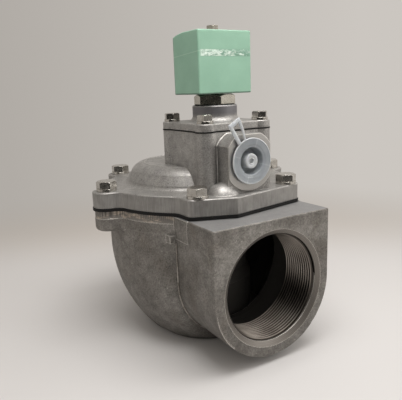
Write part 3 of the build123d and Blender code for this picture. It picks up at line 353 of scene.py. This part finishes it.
def cut_thread(name, along):
    """Cut aluminium of a thread: pale warm crests over roots darkened as painted shade, with painted shade
    deeper in the bore.
    """
    material, tree, shader = new_material(name, Metallic=1.0, Roughness=0.3)
    place = add(tree, "ShaderNodeTexCoord", out=3)
    centred = add(tree, "ShaderNodeVectorMath", {0: place, 1: (0, 0, INLET_Z if along == "Y" else 0)},
                  operation="SUBTRACT")
    square = add(tree, "ShaderNodeVectorMath", {0: centred, 1: (1, 0, 1) if along == "Y" else (1, 1, 0)},
                 operation="MULTIPLY")
    radius = add(tree, "ShaderNodeVectorMath", {0: square}, out=1, operation="LENGTH")
    crest_over_shaded_root = add(tree, "ShaderNodeMapRange", {"Value": radius, 1: THREAD_R - 0.6 * MM,
                                             2: THREAD_R - 1.3 * MM}, interpolation_type="SMOOTHSTEP")
    noise = add(tree, "ShaderNodeTexNoise", {"Vector": place, "Scale": 60.0, "Detail": 3})
    share = add(tree, "ShaderNodeMapRange", {"Value": noise, 1: 0.35, 2: 0.65})
    pale = add(tree, "ShaderNodeMix", {0: share, 6: linear("#7F7871"), 7: linear("#989189")}, out=2,
               data_type="RGBA")
    # painted shade: the roots between the crests made dark
    colour = add(tree, "ShaderNodeMix", {0: crest_over_shaded_root, 6: linear("#46423E"), 7: pale}, out=2, data_type="RGBA")
    shade = add(tree, "ShaderNodeAmbientOcclusion", {"Distance": 45 * MM}, out=1, samples=8)
    shade = add(tree, "ShaderNodeMapRange", {"Value": shade, 1: 0.05, 2: 0.6, 3: 0.35, 4: 1.0})
    colour = add(tree, "ShaderNodeMix", {0: 1.0, 6: colour, 7: shade}, out=2, data_type="RGBA",
                 blend_type="MULTIPLY")
    tree.links.new(colour, shader.inputs["Base Color"])
    return material


def rubbed_and_highlit_aluminium(name, dark, light):
    """A thin raised line of a casting in two given tones: the seam's rubbed paler than the skin, the exhaust
    boss fillet's near white as a painted highlight.
    """
    material, tree, shader = new_material(name, Metallic=0.9, Roughness=0.45)
    place = add(tree, "ShaderNodeTexCoord", out=3)
    noise = add(tree, "ShaderNodeTexNoise", {"Vector": place, "Scale": 260.0, "Detail": 4, "Roughness": 0.7})
    share = add(tree, "ShaderNodeMapRange", {"Value": noise, 1: 0.4, 2: 0.62})
    colour = add(tree, "ShaderNodeMix", {0: share, 6: linear(dark), 7: linear(light)}, out=2,
                 data_type="RGBA")
    tree.links.new(colour, shader.inputs["Base Color"])
    return material


def steel(name, light, dark, roughness, scratch_mm):
    """Bright cold-headed steel: nearly even tone, with faint rub marks that vary its gloss."""
    material, tree, shader = new_material(name, Metallic=1.0)
    place = add(tree, "ShaderNodeTexCoord", out=3)
    marks = add(tree, "ShaderNodeTexNoise", {"Vector": place, "Scale": 1 / (scratch_mm * MM), "Detail": 5,
                                             "Roughness": 0.7})
    share = add(tree, "ShaderNodeMapRange", {"Value": marks, 1: 0.38, 2: 0.66})
    colour = add(tree, "ShaderNodeMix", {0: share, 6: linear(light), 7: linear(dark)}, out=2,
                 data_type="RGBA")
    gloss = add(tree, "ShaderNodeMapRange", {"Value": share, 3: roughness, 4: roughness + 0.12})
    soft = add(tree, "ShaderNodeBevel", {"Radius": 0.35 * MM}, samples=4)
    tree.links.new(colour, shader.inputs["Base Color"])
    tree.links.new(gloss, shader.inputs["Roughness"])
    tree.links.new(soft, shader.inputs["Normal"])
    return material


def rubber(name, tone, dust, roughness=0.75):
    """Moulded nitrile rubber: near black and dull, with a faint bloom of dust."""
    material, tree, shader = new_material(name, IOR=1.42)
    place = add(tree, "ShaderNodeTexCoord", out=3)
    bloom = add(tree, "ShaderNodeTexNoise", {"Vector": place, "Scale": 260.0, "Detail": 4, "Roughness": 0.6})
    share = add(tree, "ShaderNodeMapRange", {"Value": bloom, 1: 0.52, 2: 0.8, 4: 0.4})
    colour = add(tree, "ShaderNodeMix", {0: share, 6: linear(tone), 7: linear(dust)}, out=2, data_type="RGBA")
    gloss = add(tree, "ShaderNodeMapRange", {"Value": share, 3: roughness - 0.1, 4: roughness + 0.1})
    bump = add(tree, "ShaderNodeBump", {"Height": bloom, "Distance": 0.05 * MM, "Strength": 0.5})
    tree.links.new(colour, shader.inputs["Base Color"])
    tree.links.new(gloss, shader.inputs["Roughness"])
    tree.links.new(bump, shader.inputs["Normal"])
    return material


def green_resin():
    """Epoxy moulding of the coil: an even satin green, with a fine parting line, a rubbed band across its
    front edged with painted groove shade, and painted shade along its foot."""
    material, tree, shader = new_material("green_epoxy_moulding", IOR=1.55)
    place = add(tree, "ShaderNodeTexCoord", out=3)
    axes = add(tree, "ShaderNodeSeparateXYZ", {0: place}).node.outputs
    tone = add(tree, "ShaderNodeTexNoise", {"Vector": place, "Scale": 70.0, "Detail": 4, "Roughness": 0.55})
    share = add(tree, "ShaderNodeMapRange", {"Value": tone, 1: 0.3, 2: 0.7})
    colour = add(tree, "ShaderNodeMix", {0: share, 6: linear("#84AC96"), 7: linear("#8DB59F")}, out=2,
                 data_type="RGBA")
    # parting line round the moulding, about 0.35 mm wide
    slope = add(tree, "ShaderNodeMath", {0: axes[1], 1: -0.062, 2: 0.2081}, operation="MULTIPLY_ADD")
    off_line = add(tree, "ShaderNodeMath", {0: axes[2], 1: slope}, operation="SUBTRACT")
    off_line = add(tree, "ShaderNodeMath", {0: off_line}, operation="ABSOLUTE")
    line = add(tree, "ShaderNodeMapRange", {"Value": off_line, 1: 0.08 * MM, 2: 0.4 * MM, 3: 1.0, 4: 0.0})
    # rubbed band on the front face, where the resin is scuffed pale
    wide = add(tree, "ShaderNodeMapping", {"Vector": place, "Scale": (260.0, 260.0, 700.0)})
    scuff = add(tree, "ShaderNodeTexNoise", {"Vector": wide, "Scale": 1.0, "Detail": 6, "Roughness": 0.7,
                                             "Distortion": 0.8})
    centre = add(tree, "ShaderNodeMath", {0: axes[2], 1: COIL_BAND_Z}, operation="SUBTRACT")
    centre = add(tree, "ShaderNodeMath", {0: centre}, operation="ABSOLUTE")
    spread = add(tree, "ShaderNodeMapRange", {"Value": centre, 1: 1.8 * MM, 2: 2.5 * MM, 3: 1.0, 4: 0.0})
    front = add(tree, "ShaderNodeMath", {0: axes[1], 1: COIL_FRONT + 2 * MM}, operation="LESS_THAN")
    side_x = add(tree, "ShaderNodeMath", {0: axes[0], 1: 0.5 * MM}, operation="SUBTRACT")
    side_x = add(tree, "ShaderNodeMath", {0: side_x}, operation="ABSOLUTE")
    ends = add(tree, "ShaderNodeMapRange", {"Value": side_x, 1: 20 * MM, 2: 21 * MM, 3: 1.0, 4: 0.0})
    rubbed = add(tree, "ShaderNodeMath", {0: spread, 1: front}, operation="MULTIPLY")
    rubbed = add(tree, "ShaderNodeMath", {0: rubbed, 1: ends}, operation="MULTIPLY")
    leftward = add(tree, "ShaderNodeMapRange", {"Value": axes[0], 1: -20 * MM, 2: 20 * MM, 3: 0.06, 4: -0.05})
    scuffed = add(tree, "ShaderNodeMath", {0: scuff, 1: leftward}, operation="ADD")
    rubbed_tone = add(tree, "ShaderNodeMapRange", {"Value": scuffed, 1: 0.46, 2: 0.58})
    # painted shade: the band's edge made darker, as a shaded groove
    rim = add(tree, "ShaderNodeMapRange", {"Value": centre, 1: 2.0 * MM, 2: 2.3 * MM, 3: 1.0, 4: 0.45})
    pale = add(tree, "ShaderNodeMix", {0: rubbed_tone, 6: linear("#6D9480"), 7: linear("#D3E2D8")}, out=2,
               data_type="RGBA")
    pale = add(tree, "ShaderNodeMix", {0: 1.0, 6: pale, 7: rim}, out=2, data_type="RGBA",
               blend_type="MULTIPLY")
    colour = add(tree, "ShaderNodeMix", {0: rubbed, 6: colour, 7: pale}, out=2, data_type="RGBA")
    # painted shade: the lowest millimetre of the housing darkened, for its rounded foot
    painted_foot_shade = add(tree, "ShaderNodeMapRange", {"Value": axes[2], 1: COIL_FOOT + 0.8 * MM,
                                             2: COIL_FOOT + 1.2 * MM, 3: 0.5, 4: 1.0})
    colour = add(tree, "ShaderNodeMix", {0: 1.0, 6: colour, 7: painted_foot_shade}, out=2, data_type="RGBA",
                 blend_type="MULTIPLY")
    line_share = add(tree, "ShaderNodeMath", {0: line, 1: 0.45}, operation="MULTIPLY")
    colour = add(tree, "ShaderNodeMix", {0: line_share, 6: colour, 7: linear("#B4D2C1")}, out=2,
                 data_type="RGBA")
    fine = add(tree, "ShaderNodeTexNoise", {"Vector": place, "Scale": 1500.0, "Detail": 2})
    height = add(tree, "ShaderNodeMath", {0: scuff, 1: rubbed}, operation="MULTIPLY")
    height = add(tree, "ShaderNodeMath", {0: height, 1: 5.0, 2: fine}, operation="MULTIPLY_ADD")
    height = add(tree, "ShaderNodeMath", {0: line, 1: 1.5, 2: height}, operation="MULTIPLY_ADD")
    soft = add(tree, "ShaderNodeBevel", {"Radius": 0.5 * MM}, samples=4)
    bump = add(tree, "ShaderNodeBump", {"Height": height, "Distance": 0.05 * MM, "Strength": 0.5,
                                        "Normal": soft})
    gloss = add(tree, "ShaderNodeMapRange", {"Value": rubbed, 3: 0.38, 4: 0.7})
    tree.links.new(colour, shader.inputs["Base Color"])
    tree.links.new(gloss, shader.inputs["Roughness"])
    tree.links.new(bump, shader.inputs["Normal"])
    return material


def cap_polythene(name, tone, pale):
    """Natural low-density polythene of the dust cap: milky and slightly blue. It lets light through, keeps
    flow marks, has a painted highlight on its lip and is paler on its hub."""
    material, tree, shader = new_material(name, IOR=1.51, Roughness=0.34)
    shader.inputs["Transmission Weight"].default_value = 0.3
    shader.inputs["Subsurface Weight"].default_value = 0.3
    shader.inputs["Subsurface Radius"].default_value = (1.0, 1.0, 1.2)
    shader.inputs["Subsurface Scale"].default_value = 2 * MM
    place = add(tree, "ShaderNodeTexCoord", out=3)
    flow = add(tree, "ShaderNodeTexNoise", {"Vector": place, "Scale": 180.0, "Detail": 3})
    share = add(tree, "ShaderNodeMapRange", {"Value": flow, 1: 0.35, 2: 0.65})
    colour = add(tree, "ShaderNodeMix", {0: share, 6: linear(tone), 7: linear(pale)}, out=2, data_type="RGBA")
    # four faint marks across the flange, where the mould fills last, a painted highlight on the lip, and a
    # pale hub
    axes = add(tree, "ShaderNodeSeparateXYZ", {0: place}).node.outputs
    level = add(tree, "ShaderNodeMath", {0: axes[2], 1: EXHAUST_Z}, operation="SUBTRACT")
    turn = add(tree, "ShaderNodeMath", {0: level, 1: axes[0]}, operation="ARCTAN2")
    turn = add(tree, "ShaderNodeMath", {0: turn, 1: 4.0, 2: 1.2}, operation="MULTIPLY_ADD")
    turn = add(tree, "ShaderNodeMath", {0: turn}, operation="COSINE")
    marks_and_lip_highlight = add(tree, "ShaderNodeMapRange", {"Value": turn, 1: 0.985, 2: 0.998, 4: 0.2})
    across = add(tree, "ShaderNodeCombineXYZ", {0: axes[0], 1: level})
    rim_r = add(tree, "ShaderNodeVectorMath", {0: across}, out=1, operation="LENGTH")
    # painted highlight: a pale line round the lip
    painted_lip_highlight = add(tree, "ShaderNodeMapRange", {"Value": rim_r, 1: 15 * MM, 2: 15.5 * MM, 4: 0.8})
    in_rim = add(tree, "ShaderNodeMath", {0: rim_r, 1: 15.9 * MM}, operation="LESS_THAN")
    painted_lip_highlight = add(tree, "ShaderNodeMath", {0: painted_lip_highlight, 1: in_rim}, operation="MULTIPLY")
    marks_and_lip_highlight = add(tree, "ShaderNodeMath", {0: marks_and_lip_highlight, 1: painted_lip_highlight}, operation="MAXIMUM")
    hub = add(tree, "ShaderNodeMapRange", {"Value": rim_r, 1: 5 * MM, 2: 5.8 * MM, 3: 0.6, 4: 0.0})
    marks_and_lip_highlight = add(tree, "ShaderNodeMath", {0: marks_and_lip_highlight, 1: hub}, operation="MAXIMUM")
    colour = add(tree, "ShaderNodeMix", {0: marks_and_lip_highlight, 6: colour, 7: linear("#F0F3F5")}, out=2, data_type="RGBA")
    bump = add(tree, "ShaderNodeBump", {"Height": flow, "Distance": 0.05 * MM, "Strength": 0.3})
    tree.links.new(colour, shader.inputs["Base Color"])
    tree.links.new(bump, shader.inputs["Normal"])
    return material


def plastic(name, tone, shade, roughness):
    """Moulded thermoplastic: even, with a slight sheen and faint flow marks."""
    material, tree, shader = new_material(name, IOR=1.5)
    place = add(tree, "ShaderNodeTexCoord", out=3)
    flow = add(tree, "ShaderNodeTexNoise", {"Vector": place, "Scale": 120.0, "Detail": 3})
    share = add(tree, "ShaderNodeMapRange", {"Value": flow, 1: 0.35, 2: 0.65})
    colour = add(tree, "ShaderNodeMix", {0: share, 6: linear(tone), 7: linear(shade)}, out=2,
                 data_type="RGBA")
    gloss = add(tree, "ShaderNodeMapRange", {"Value": share, 3: roughness, 4: roughness + 0.08})
    tree.links.new(colour, shader.inputs["Base Color"])
    tree.links.new(gloss, shader.inputs["Roughness"])
    return material


def copper_winding():
    """Enamelled copper wire: level turns of 0.3 mm wire, drawn 0.6 mm apart so that they show."""
    material, tree, shader = new_material("enamelled_copper_wire", Metallic=0.8, Roughness=0.3)
    place = add(tree, "ShaderNodeTexCoord", out=3)
    height = add(tree, "ShaderNodeSeparateXYZ", {0: place}, out=2)
    turns = add(tree, "ShaderNodeMath", {0: height, 1: 2 * math.pi / (0.6 * MM)}, operation="MULTIPLY")
    turns = add(tree, "ShaderNodeMath", {0: turns}, operation="SINE")
    share = add(tree, "ShaderNodeMapRange", {"Value": turns, 1: -1.0, 2: 1.0})
    colour = add(tree, "ShaderNodeMix", {0: share, 6: linear("#6B3414"), 7: linear("#B5683A")}, out=2,
                 data_type="RGBA")
    bump = add(tree, "ShaderNodeBump", {"Height": share, "Distance": 0.2 * MM, "Strength": 0.7})
    tree.links.new(colour, shader.inputs["Base Color"])
    tree.links.new(bump, shader.inputs["Normal"])
    return material


# Mesh pieces
def piece_from(name, points, faces, material, smooth=True):
    mesh = bpy.data.meshes.new(name)
    mesh.from_pydata(points, [], faces)
    mesh.update()
    work = bmesh.new()
    work.from_mesh(mesh)
    bmesh.ops.recalc_face_normals(work, faces=work.faces)
    work.to_mesh(mesh)
    work.free()
    mesh.polygons.foreach_set("use_smooth", [smooth] * len(mesh.polygons))
    mesh.materials.append(material)
    piece = bpy.data.objects.new(name, mesh)
    bpy.context.scene.collection.objects.link(piece)
    return piece


def swept(rings, closed=False):
    """Points and quads of a skin over equal rings of points, with its ends filled where it isn't closed."""
    size = len(rings[0])
    points = [p for ring in rings for p in ring]
    faces = []
    steps = len(rings) if closed else len(rings) - 1
    for i in range(steps):
        a, b = i * size, (i + 1) % len(rings) * size
        for k in range(size):
            m = (k + 1) % size
            faces.append((a + k, a + m, b + m, b + k))
    if not closed:
        faces.append(tuple(range(size)))
        faces.append(tuple(range(len(points) - size, len(points))))
    return points, faces


def thread_ridge(name, radius, depth, pitch, start, length, axis, centre, material):
    """The helical ridge of a female pipe thread, in a bore about the axis, from a start distance inwards."""
    per_turn = 128
    turns = length / pitch
    section = [(-0.47, -0.08), (-0.47, 0.0), (-0.2, 0.62), (-0.09, 0.95), (0.0, 1.0), (0.09, 0.95),
               (0.2, 0.62), (0.47, 0.0), (0.47, -0.08)]
    rings = []
    for i in range(int(turns * per_turn) + 1):
        share = i / per_turn
        angle = 2 * math.pi * share
        fade = min(1.0, share * 1.6, (turns - share) * 2.5)
        along = start + share * pitch
        ring = []
        for u, h in section:
            r = radius - depth * (h * fade if h > 0 else h)
            a = along + u * pitch
            if axis == "Y":
                ring.append((centre[0] + r * math.cos(angle), centre[1] + a, centre[2] + r * math.sin(angle)))
            else:
                ring.append((centre[0] + r * math.cos(angle), centre[1] + r * math.sin(angle), centre[2] + a))
        rings.append(ring)
    points, faces = swept(rings)
    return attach(piece_from(name, points, faces, material), "valve")


def bead(name, path, radius, material, body, squat=1.0, closed=False, wander=0.0):
    """A raised bead along a path, slightly uneven as a casting's seam is."""
    rings = []
    count = len(path)
    for i, p in enumerate(path):
        before = path[i - 1] if i or closed else path[0]
        after = path[(i + 1) % count] if i + 1 < count or closed else path[-1]
        along = (Vector(after) - Vector(before)).normalized()
        side = along.orthogonal() if abs(along.z) > 0.99 else along.cross(Vector((0, 0, 1)))
        side.normalize()
        up = side.cross(along).normalized()
        r = radius * (1 + random.uniform(-wander, wander))
        rings.append([tuple(Vector(p) + side * r * math.cos(t) + up * r * squat * math.sin(t))
                      for t in (2 * math.pi * k / 10 for k in range(10))])
    points, faces = swept(rings, closed)
    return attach(piece_from(name, points, faces, material), body)


def turned_cap(profile, steps):
    """The dust cap's cup, turned about the exhaust port's axis from (radius, stand-off) points."""
    rings = []
    for k in range(steps):
        t = 2 * math.pi * k / steps
        rings.append([(r * MM * math.cos(t), EXHAUST_FACE - a * MM,
                       EXHAUST_Z + r * MM * math.sin(t)) for r, a in profile])
    points = [p for ring in rings for p in ring]
    size = len(profile)
    faces = []
    for k in range(steps):
        a, b = k * size, (k + 1) % steps * size
        faces += [(a + n, a + n + 1, b + n + 1, b + n) for n in range(size - 1)]
    faces.append(tuple(k * size for k in range(steps)))
    faces.append(tuple(k * size + size - 1 for k in range(steps)))
    return points, faces


def rounded(corners, round_mm):
    """A closed path through the corners, each rounded off."""
    path = []
    for k, corner in enumerate(corners):
        here = Vector(corner)
        before = (Vector(corners[k - 1]) - here).normalized() * round_mm
        after = (Vector(corners[(k + 1) % len(corners)]) - here).normalized() * round_mm
        path += [here + before * (1 - n / 6) ** 2 + after * (n / 6) ** 2 for n in range(7)]
    return path


def pull_tab(outer, window, thick, stand_off, angle):
    """The tab's frame: a flat plate with soft edges between an outline and its window."""
    out, up = Vector((math.cos(angle), math.sin(angle))), Vector((-math.sin(angle), math.cos(angle)))
    h, c = thick / 2, thick * 0.28
    rings = []
    for a, b in zip(rounded(outer, 0.9), rounded(window, 0.7)):
        inward = (b - a).normalized() * c
        ring = []
        for p, lift in ((a, h - c), (a, c - h), (a + inward, -h), (b - inward, -h),
                        (b, c - h), (b, h - c), (b - inward, h), (a + inward, h)):
            flat = out * p.x + up * p.y
            ring.append((flat.x * MM, EXHAUST_FACE - (stand_off + lift) * MM, EXHAUST_Z + flat.y * MM))
        rings.append(ring)
    return swept(rings, closed=True)


def copy_of(node, name, material):
    """A copy of a soft node's own skin in the material given, with the node hidden."""
    piece = bpy.data.objects.new(name, nodes[node].data.copy())
    bpy.context.scene.collection.objects.link(piece)
    piece.data.materials.clear()
    piece.data.materials.append(material)
    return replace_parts(piece, node)


right, front = place_camera()

cast_body = body_casting()
cast_cover = cover_casting()
inlet_cut = cut_thread("cut_aluminium_inlet_thread", "Y")
outlet_cut = cut_thread("cut_aluminium_outlet_thread", "Z")
flash = rubbed_and_highlit_aluminium("rubbed_casting_flash", "#87827B", "#B4AFA8")
# near-white tones: a painted highlight on the exhaust boss's fillet
painted_highlight_fillet = rubbed_and_highlit_aluminium("painted_highlight_casting_fillet", "#D2CFCA", "#F2F0EC")
stainless = steel("stainless_steel_bright", "#D6D3CD", "#B5B1AA", 0.16, 3.0)
plated = steel("zinc_plated_steel", "#CFCBC0", "#A9A59A", 0.2, 4.0)
spring_wire = steel("spring_steel_wire", "#A8A6A2", "#86837E", 0.3, 2.0)
brass = steel("turned_brass", "#C9A45C", "#A88242", 0.28, 3.0)
copper = steel("copper_ring", "#B87048", "#96552F", 0.3, 3.0)
nitrile = rubber("nitrile_rubber", "#0B0B0B", "#1F1E1D")
gasket_paper = rubber("pressed_fibre_gasket", "#151413", "#2C2A28", 0.8)
resin = green_resin()
polythene = cap_polythene("natural_polythene_cap", "#A2A9AF", "#B0B6BB")
thin_polythene = cap_polythene("natural_polythene_tab", "#C9CED2", "#DADDE0")
bobbin_nylon = plastic("nylon_bobbin", "#2A2B2C", "#35373A", 0.4)
wire = copper_winding()

finish = {
    "valve_body": cast_body, "main_cover": cast_cover, "pilot_bonnet": cast_cover,
    "main_bolts": stainless, "main_lock_washers": stainless,
    "pilot_bolts": stainless, "pilot_lock_washers": stainless,
    "diaphragm_seal_disc": nitrile, "diaphragm_top_plate": plated,
    "diaphragm_screw": stainless, "diaphragm_nut": stainless,
    "pilot_seal_disc": nitrile, "pilot_top_plate": plated, "pilot_rivet": brass,
    "base_gasket": gasket_paper, "solenoid_base": plated,
    "core_tube": stainless, "plug_nut": plated, "shading_ring": copper,
    "core": stainless, "core_seat": nitrile,
    "coil_housing": resin, "coil_yoke": plated, "coil_bobbin": bobbin_nylon, "coil_winding": wire,
    "line_terminal_left": brass, "line_terminal_right": brass, "earth_terminal": brass,
    "connector_insert": brass, "coil_washer": plated, "coil_nut": plated,
}
for node, material in finish.items():
    nodes[node].data.materials.clear()
    nodes[node].data.materials.append(material)

# Threads of the inlet and the outlet
thread_ridge("inlet_thread", THREAD_R, THREAD_DEPTH, THREAD_PITCH, 3.0 * MM, 29.0 * MM, "Y",
             (0, INLET_FACE, INLET_Z), inlet_cut)
thread_ridge("outlet_thread", THREAD_R, THREAD_DEPTH, THREAD_PITCH, 1.6 * MM, 30.4 * MM, "Z", (0, 0, 0),
             outlet_cut)

# Raised seam where the inlet block runs out of the bowl
seam = []
seam_r, seam_y, seam_top = 48.5 * MM, -52.5 * MM, 0.0835
for k in range(24):
    seam.append((-seam_r, seam_y, seam_top + (INLET_Z - seam_top) * k / 24))
for k in range(97):
    turn = math.pi + math.pi * k / 96
    seam.append((seam_r * math.cos(turn), seam_y, INLET_Z + seam_r * math.sin(turn)))
for k in range(1, 25):
    seam.append((seam_r, seam_y, INLET_Z + (seam_top - INLET_Z) * k / 24))
bead("block_seam", seam, 0.62 * MM, flash, "valve", wander=0.1)

# Low rim round the bare plate on top of the dome
rim_r = 40.6 * MM
rim = [(rim_r * math.cos(t), rim_r * math.sin(t), DOME_TOP)
       for t in (2 * math.pi * k / 160 for k in range(160))]
bead("dome_plate_rim", rim, 0.8 * MM, cast_cover, "valve", squat=0.6, closed=True, wander=0.05)

# Fillet where the exhaust boss runs out of the tower, its near-white tones a painted highlight
pad_half, pad_r, pad_top, tower_front = 17.5 * MM, 20.5 * MM, 18.3 * MM, -59.5 * MM
start, end = math.acos(-pad_half / pad_r), math.pi - math.asin(pad_top / pad_r)
boss_line = [(-pad_half, tower_front, DECK + 3 * MM + k * 1.6 * MM) for k in range(18)]
boss_line += [(pad_r * math.cos(t), tower_front, EXHAUST_Z + pad_r * math.sin(t))
              for t in (start + (end - start) * k / 12 for k in range(13))]
boss_line += [(pad_r * math.cos(end) + k * 1.2 * MM, tower_front, EXHAUST_Z + pad_top) for k in range(1, 5)]
bead("exhaust_boss_fillet", boss_line, 0.5 * MM, painted_highlight_fillet, "valve", wander=0.12)

# Dust cap with rounded rims, and its pull tab
cup = [
    (0, -7.5), (11.6, -7.5), (12.05, -7.35), (12.2, -7.0), (12.85, 0.3), (12.95, 1.2), (13.3, 1.5),
    (15.4, 1.5), (15.7, 1.62), (15.8, 1.95), (15.76, 2.4), (15.6, 2.62), (15.3, 2.7), (15.0, 2.66),
    (14.75, 2.5), (14.4, 2.42), (11.6, 2.38), (11.25, 2.3), (11.05, 2.15), (9.9, 2.1), (9.5, 2.0),
    (9.3, 1.7), (9.2, 1.2), (8.9, -5.6), (8.7, -6.1), (8.2, -6.3), (5.9, -6.3), (5.5, -6.1), (5.4, -5.6),
    (5.1, 1.3), (5.0, 1.65), (4.7, 1.85), (4.3, 1.9), (3.3, 1.9), (3.05, 1.8), (2.85, 1.6), (2.6, 1.55),
    (2.35, 1.75), (2.1, 1.8), (1.85, 1.7), (1.7, 1.4), (1.6, 0.1), (1.4, -0.15), (1.0, -0.3),
    (0.35, -0.3), (0.2, 0.1), (0, 0.2)]
points, faces = turned_cap(cup, 128)
cap = piece_from("dust_cap_cup", points, faces, polythene)
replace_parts(cap, "exhaust_cap")
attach(cap, "dust_cap")
tab_outline = [(15.0, 4.1), (30.7, 4.8), (31.3, -5.6), (23.1, -5.0), (15.0, -2.7)]
tab_window = [(15.7, 1.4), (27.8, 1.9), (28.3, -3.1), (22.3, -2.8), (16.0, -1.9)]
points, faces = pull_tab(tab_outline, tab_window, 1.2, 2.12, math.radians(118.9))
tab = piece_from("dust_cap_tab", points, faces, thin_polythene)
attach(tab, "dust_cap")

# Copies of the soft pieces: the diaphragm sheets where they stand, the springs on the valve
pilot_skin = copy_of("pilot_diaphragm", "pilot_diaphragm_sheet", nitrile)
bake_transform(pilot_skin)

main_skin = copy_of("main_diaphragm", "main_diaphragm_sheet", nitrile)
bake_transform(main_skin)

for node, joint, top, keep in (("main_spring", "main_diaphragm_lift", 0.1279, 0.356),
                               ("pilot_spring", "pilot_diaphragm_lift", 0.1665, 0.516),
                               ("core_spring", "core_lift", 0.20545, 0.845)):
    coil = copy_of(node, node + "_wire", spring_wire)
    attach(coil, "valve")
    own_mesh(coil)


# Floor, backdrop and light, with about where the camera stands, for the backdrop's tone on the floor
VIEW_FROM = front * 0.394 + right * 0.004 + Vector((0, 0, 0.186))


def backdrop_tone(tree, place, origin):
    """The backdrop's colour, a little greyer to the left and paler to the right of the object."""
    ray = add(tree, "ShaderNodeVectorMath", {0: place, 1: origin}, operation="SUBTRACT")
    ray = add(tree, "ShaderNodeVectorMath", {0: ray}, operation="NORMALIZE")
    side = add(tree, "ShaderNodeVectorMath", {0: ray, 1: right}, out=1, operation="DOT_PRODUCT")
    share = add(tree, "ShaderNodeMapRange", {"Value": side, 1: -0.36, 2: 0.3})
    return add(tree, "ShaderNodeMix", {0: share, 6: linear("#B0ABA5"), 7: linear("#CBC6C0")}, out=2,
               data_type="RGBA")


def studio_floor():
    """Matt pale board, a little warmer and darker behind the object as a wall is. It runs out into the
    backdrop."""
    material, tree, shader = new_material("matt_pale_board", Roughness=0.8, IOR=1.4)
    place = add(tree, "ShaderNodeTexCoord", out=3)
    away = add(tree, "ShaderNodeVectorMath", {0: place, 1: -front}, out=1, operation="DOT_PRODUCT")
    wall = add(tree, "ShaderNodeMapRange", {"Value": away, 1: 0.10, 2: 0.30}, interpolation_type="SMOOTHSTEP")
    colour = add(tree, "ShaderNodeMix", {0: wall, 6: linear("#DAD8D7"), 7: linear("#CFC9C3")}, out=2,
                 data_type="RGBA")
    tree.links.new(colour, shader.inputs["Base Color"])
    # from 0.2 m to 0.6 m out the board turns into the backdrop, so that no edge crosses the view
    backdrop = add(tree, "ShaderNodeEmission", {"Color": backdrop_tone(tree, place, VIEW_FROM),
                                                "Strength": 1.0})
    distance = add(tree, "ShaderNodeVectorMath", {0: place}, out=1, operation="LENGTH")
    far = add(tree, "ShaderNodeMapRange", {"Value": distance, 1: 0.2, 2: 0.6},
              interpolation_type="SMOOTHSTEP")
    rays = add(tree, "ShaderNodeLightPath").node.outputs
    seen = add(tree, "ShaderNodeMath", {0: rays["Is Camera Ray"], 1: rays["Is Glossy Ray"]}, operation="ADD")
    seen = add(tree, "ShaderNodeMath", {0: seen, 1: rays["Is Transmission Ray"]}, operation="ADD",
               use_clamp=True)
    share = add(tree, "ShaderNodeMath", {0: far, 1: seen}, operation="MULTIPLY")
    mixed = add(tree, "ShaderNodeMixShader", {0: share, 1: shader.outputs["BSDF"], 2: backdrop})
    tree.links.new(mixed, tree.nodes["Material Output"].inputs["Surface"])
    bpy.ops.mesh.primitive_circle_add(vertices=96, radius=6.0, fill_type="NGON")
    floor = bpy.context.object
    floor.name = "floor"
    floor.data.materials.append(material)


def dark_card(name, at, width, height):
    """A dark card behind the camera, which only reflections show, as the open front of a light tent does."""
    material, tree, shader = new_material(name + "_felt", Roughness=0.95)
    shader.inputs["Base Color"].default_value = linear("#1C1D1A")
    aim = Vector((-at.x, -at.y, 0)).to_track_quat("Z", "Y").to_matrix().to_4x4()
    mesh = bpy.data.meshes.new(name)
    w, h = width / 2, height / 2
    mesh.from_pydata([(-w, -h, 0), (w, -h, 0), (w, h, 0), (-w, h, 0)], [], [(0, 1, 2, 3)])
    mesh.materials.append(material)
    card = bpy.data.objects.new(name, mesh)
    card.matrix_world = Matrix.Translation(at) @ aim
    card.visible_camera = False
    card.visible_diffuse = False
    card.visible_shadow = False
    bpy.context.scene.collection.objects.link(card)


def soft_box(name, at, aim, width, height, watts, tint="#FFFFFF"):
    lamp = bpy.data.lights.new(name, "AREA")
    lamp.shape = "RECTANGLE"
    lamp.size, lamp.size_y = width, height
    lamp.energy = watts
    lamp.color = linear(tint)[:3]
    holder = bpy.data.objects.new(name, lamp)
    holder.matrix_world = Matrix.Translation(at) @ (at - aim).to_track_quat("Z", "Y").to_matrix().to_4x4()
    bpy.context.scene.collection.objects.link(holder)


studio_floor()
aim = Vector((0, 0, 0.12))
soft_box("key_panel", front * 0.13 + right * 0.07 + Vector((0, 0, 0.47)), aim, 0.36, 0.26, 1.55, "#FFFDFB")
soft_box("front_panel", front * 0.5 + right * 0.25 + Vector((0, 0, 0.55)), aim, 0.6, 0.4, 0.2, "#FFFDFB")
soft_box("right_panel", right * 0.75 + front * 0.05 + Vector((0, 0, 0.45)), aim, 0.5, 0.5, 1.1, "#FFFDFB")
dark_card("front_card", front * 0.43 + Vector((0, 0, 0.205)), 0.95, 0.4)

world = bpy.data.worlds.new("studio")
bpy.context.scene.world = world
world.use_nodes = True
sky = world.node_tree.nodes["Background"]
away_from_view = add(world.node_tree, "ShaderNodeTexCoord", out=0)
world.node_tree.links.new(backdrop_tone(world.node_tree, away_from_view, Vector((0, 0, 0))),
                          sky.inputs["Color"])
sky.inputs["Strength"].default_value = 1.0

bpy.context.scene.view_settings.view_transform = "Standard"
